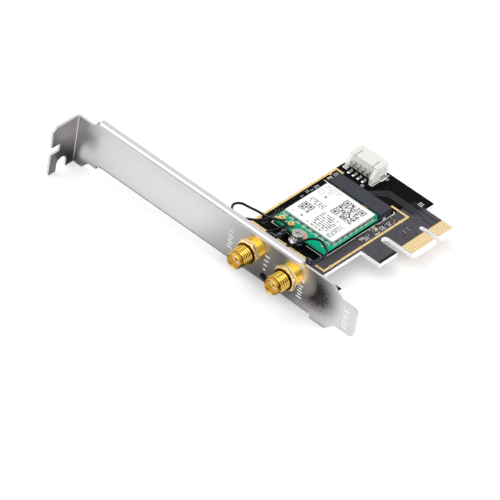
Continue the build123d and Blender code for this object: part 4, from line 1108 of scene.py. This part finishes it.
class CARD_OT_leads(bpy.types.Operator):
    """Thin coaxial leads and the shrunk sleeves that they leave"""
    bl_idname = "card.leads"
    bl_label = "Leads"

    # Corner points of each route and its length, as in the solids.
    routes = {
        1: ([(77.3, 15.4, 9.35), (77.0, 17.7, 9.35), (74.8, 18.9, 8.69), (71.39, 19.13, 8.17),
             (68.15, 17.88, 7.25), (64.43, 17.36, 7.72), (61.25, 16.3, 7.99), (58.5, 15.26, 8.69),
             (57.44, 11.99, 9.19), (59.77, 9.78, 7.87), (62.02, 10.23, 7.14), (63.49, 13.21, 6.38),
             (65.97, 16.46, 5.45), (67.4, 19.26, 5.43), (68.4469, 21.397, 5.45)], 43.39),
        2: ([(93.1, 15.6, 8.85), (92.7, 18.46, 8.85), (90.08, 20.64, 8.07), (86.23, 22.39, 8.0),
             (83.04, 20.55, 7.3), (82.07, 17.27, 6.64), (80.62, 14.18, 5.94), (77.79, 12.18, 5.28),
             (74.36, 11.28, 4.71), (71.5, 11.95, 4.51), (70.39, 14.02, 4.7), (71.35, 16.43, 4.97),
             (72.58, 18.81, 5.3), (72.9454, 21.1054, 5.45)], 40.37),
    }

    def execute(self, context):
        rubber = jacket("lead_jacket", (0.005, 0.005, 0.009), 0.24, 0.1)
        shrunk = jacket("shrunk_tubing", (0.006, 0.007, 0.014), 0.2, 0.8)
        for number, (route, length) in self.routes.items():
            self.sleeve(number, route[0], shrunk)
            self.lead(number, route, length, rubber)
        return {"FINISHED"}

    def lead(self, number, route, length, material):
        """Round lead on one smooth spline whose control points are the route's points."""
        diameter = sizes().lead_diameter
        curve = bpy.data.curves.new(f"coax_lead_{number}", "CURVE")
        curve.dimensions = "3D"
        curve.bevel_depth = diameter / 2
        curve.bevel_resolution = 6
        curve.resolution_u = 14
        curve.use_fill_caps = True
        spline = curve.splines.new("NURBS")
        spline.points.add(len(route) - 1)
        placed = np.concatenate([metres(route), np.ones((len(route), 1))], axis=1)
        spline.points.foreach_set("co", placed.ravel())
        spline.order_u = 3
        spline.use_endpoint_u = True
        curve.materials.append(material)
        piece = linked(f"coax_lead_{number}", curve)
        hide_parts(f"lead_{number}")
        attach(piece, "root")

    def sleeve(self, number, end, material):
        """Shrunk sleeve that sinks from the jack's axis by a smooth step, and narrows by another."""
        x, start_y, wide, narrow, lead_bore, lip = JACK_X[number - 1], 4.96, 1.78, 0.76, 0.44, 0.35
        y = start_y + (end[1] - start_y) * np.linspace(0, 1, 90)
        droop = self.smooth_step((y - 8.0) / 4.4)
        centre = np.stack([x + (end[0] - x) * droop, y, JACK_Z + (end[2] - JACK_Z) * droop], axis=1)
        radius = wide + (narrow - wide) * self.smooth_step((y - 8.3) / 1.7)
        radius += 0.03 * np.sin(y * 5.5) * (y > 10.2) + 0.04 * np.sin(y * 3.1) * (y < 8.3)
        gap = np.clip((end[1] - y) / lip, 0, 1)
        rounded = lead_bore + (radius - lead_bore) * np.sqrt(gap * (2 - gap))
        radius = np.where(y > end[1] - lip, rounded, radius)
        centre = np.concatenate([centre[:1], centre, centre[-1:]])
        centre[0, 1] += 1e-4
        centre[-1, 1] += 1e-4
        radius = np.concatenate([[0.0], radius, [0.0]])
        piece = carried(f"shrunk_sleeve_{number}", centre, radius, material)
        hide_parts(f"sleeve_{number}")

    def smooth_step(self, t):
        """3t^2 - 2t^3, held between 0 and 1."""
        t = np.clip(t, 0, 1)
        return t * t * (3 - 2 * t)


class CARD_OT_small_parts(bpy.types.Operator):
    """Chip capacitors, chip resistors and the link light"""
    bl_idname = "card.small_parts"
    bl_label = "Small parts"

    def execute(self, context):
        coat(["board_capacitors"], moulded("ceramic_tan", paint("b39c7c"), 0.45, 0.3))
        coat(["board_resistors"], chip_face())
        # Painted shade: the link light is painted near black, as the shade inside the hole that it fills.
        coat(["link_light"], jacket("smoky_resin", (0.012, 0.012, 0.014), 0.12, 0.0))
        return {"FINISHED"}


STEPS = ("stage", "bracket", "adapter_board", "radio_module", "module_socket", "side_header", "jacks",
         "leads", "small_parts")


class CARD_PT_panel(bpy.types.Panel):
    """Lists the card's pieces in the sidebar"""
    bl_idname = "CARD_PT_panel"
    bl_label = "Network card"
    bl_space_type = "VIEW_3D"
    bl_region_type = "UI"
    bl_category = "Network card"

    def draw(self, context):
        for group in (context.scene.card_colours, context.scene.card_sizes, context.scene.stage_settings):
            box = self.layout.box()
            for key in group.__annotations__:
                box.prop(group, key)
        for step in STEPS:
            self.layout.operator("card." + step)


CLASSES = (CardColours, CardSizes, StageSettings, CARD_OT_stage, CARD_OT_bracket, CARD_OT_adapter_board,
           CARD_OT_radio_module, CARD_OT_module_socket, CARD_OT_header, CARD_OT_jacks, CARD_OT_leads,
           CARD_OT_small_parts, CARD_PT_panel)


def register():
    for cls in CLASSES:
        bpy.utils.register_class(cls)
    bpy.types.Scene.card_colours = PointerProperty(type=CardColours)
    bpy.types.Scene.card_sizes = PointerProperty(type=CardSizes)
    bpy.types.Scene.stage_settings = PointerProperty(type=StageSettings)


def unregister():
    del bpy.types.Scene.stage_settings
    del bpy.types.Scene.card_sizes
    del bpy.types.Scene.card_colours
    for cls in reversed(CLASSES):
        bpy.utils.unregister_class(cls)


def main():
    register()
    for step in STEPS:
        getattr(bpy.ops.card, step)()


if __name__ == "__main__":
    main()
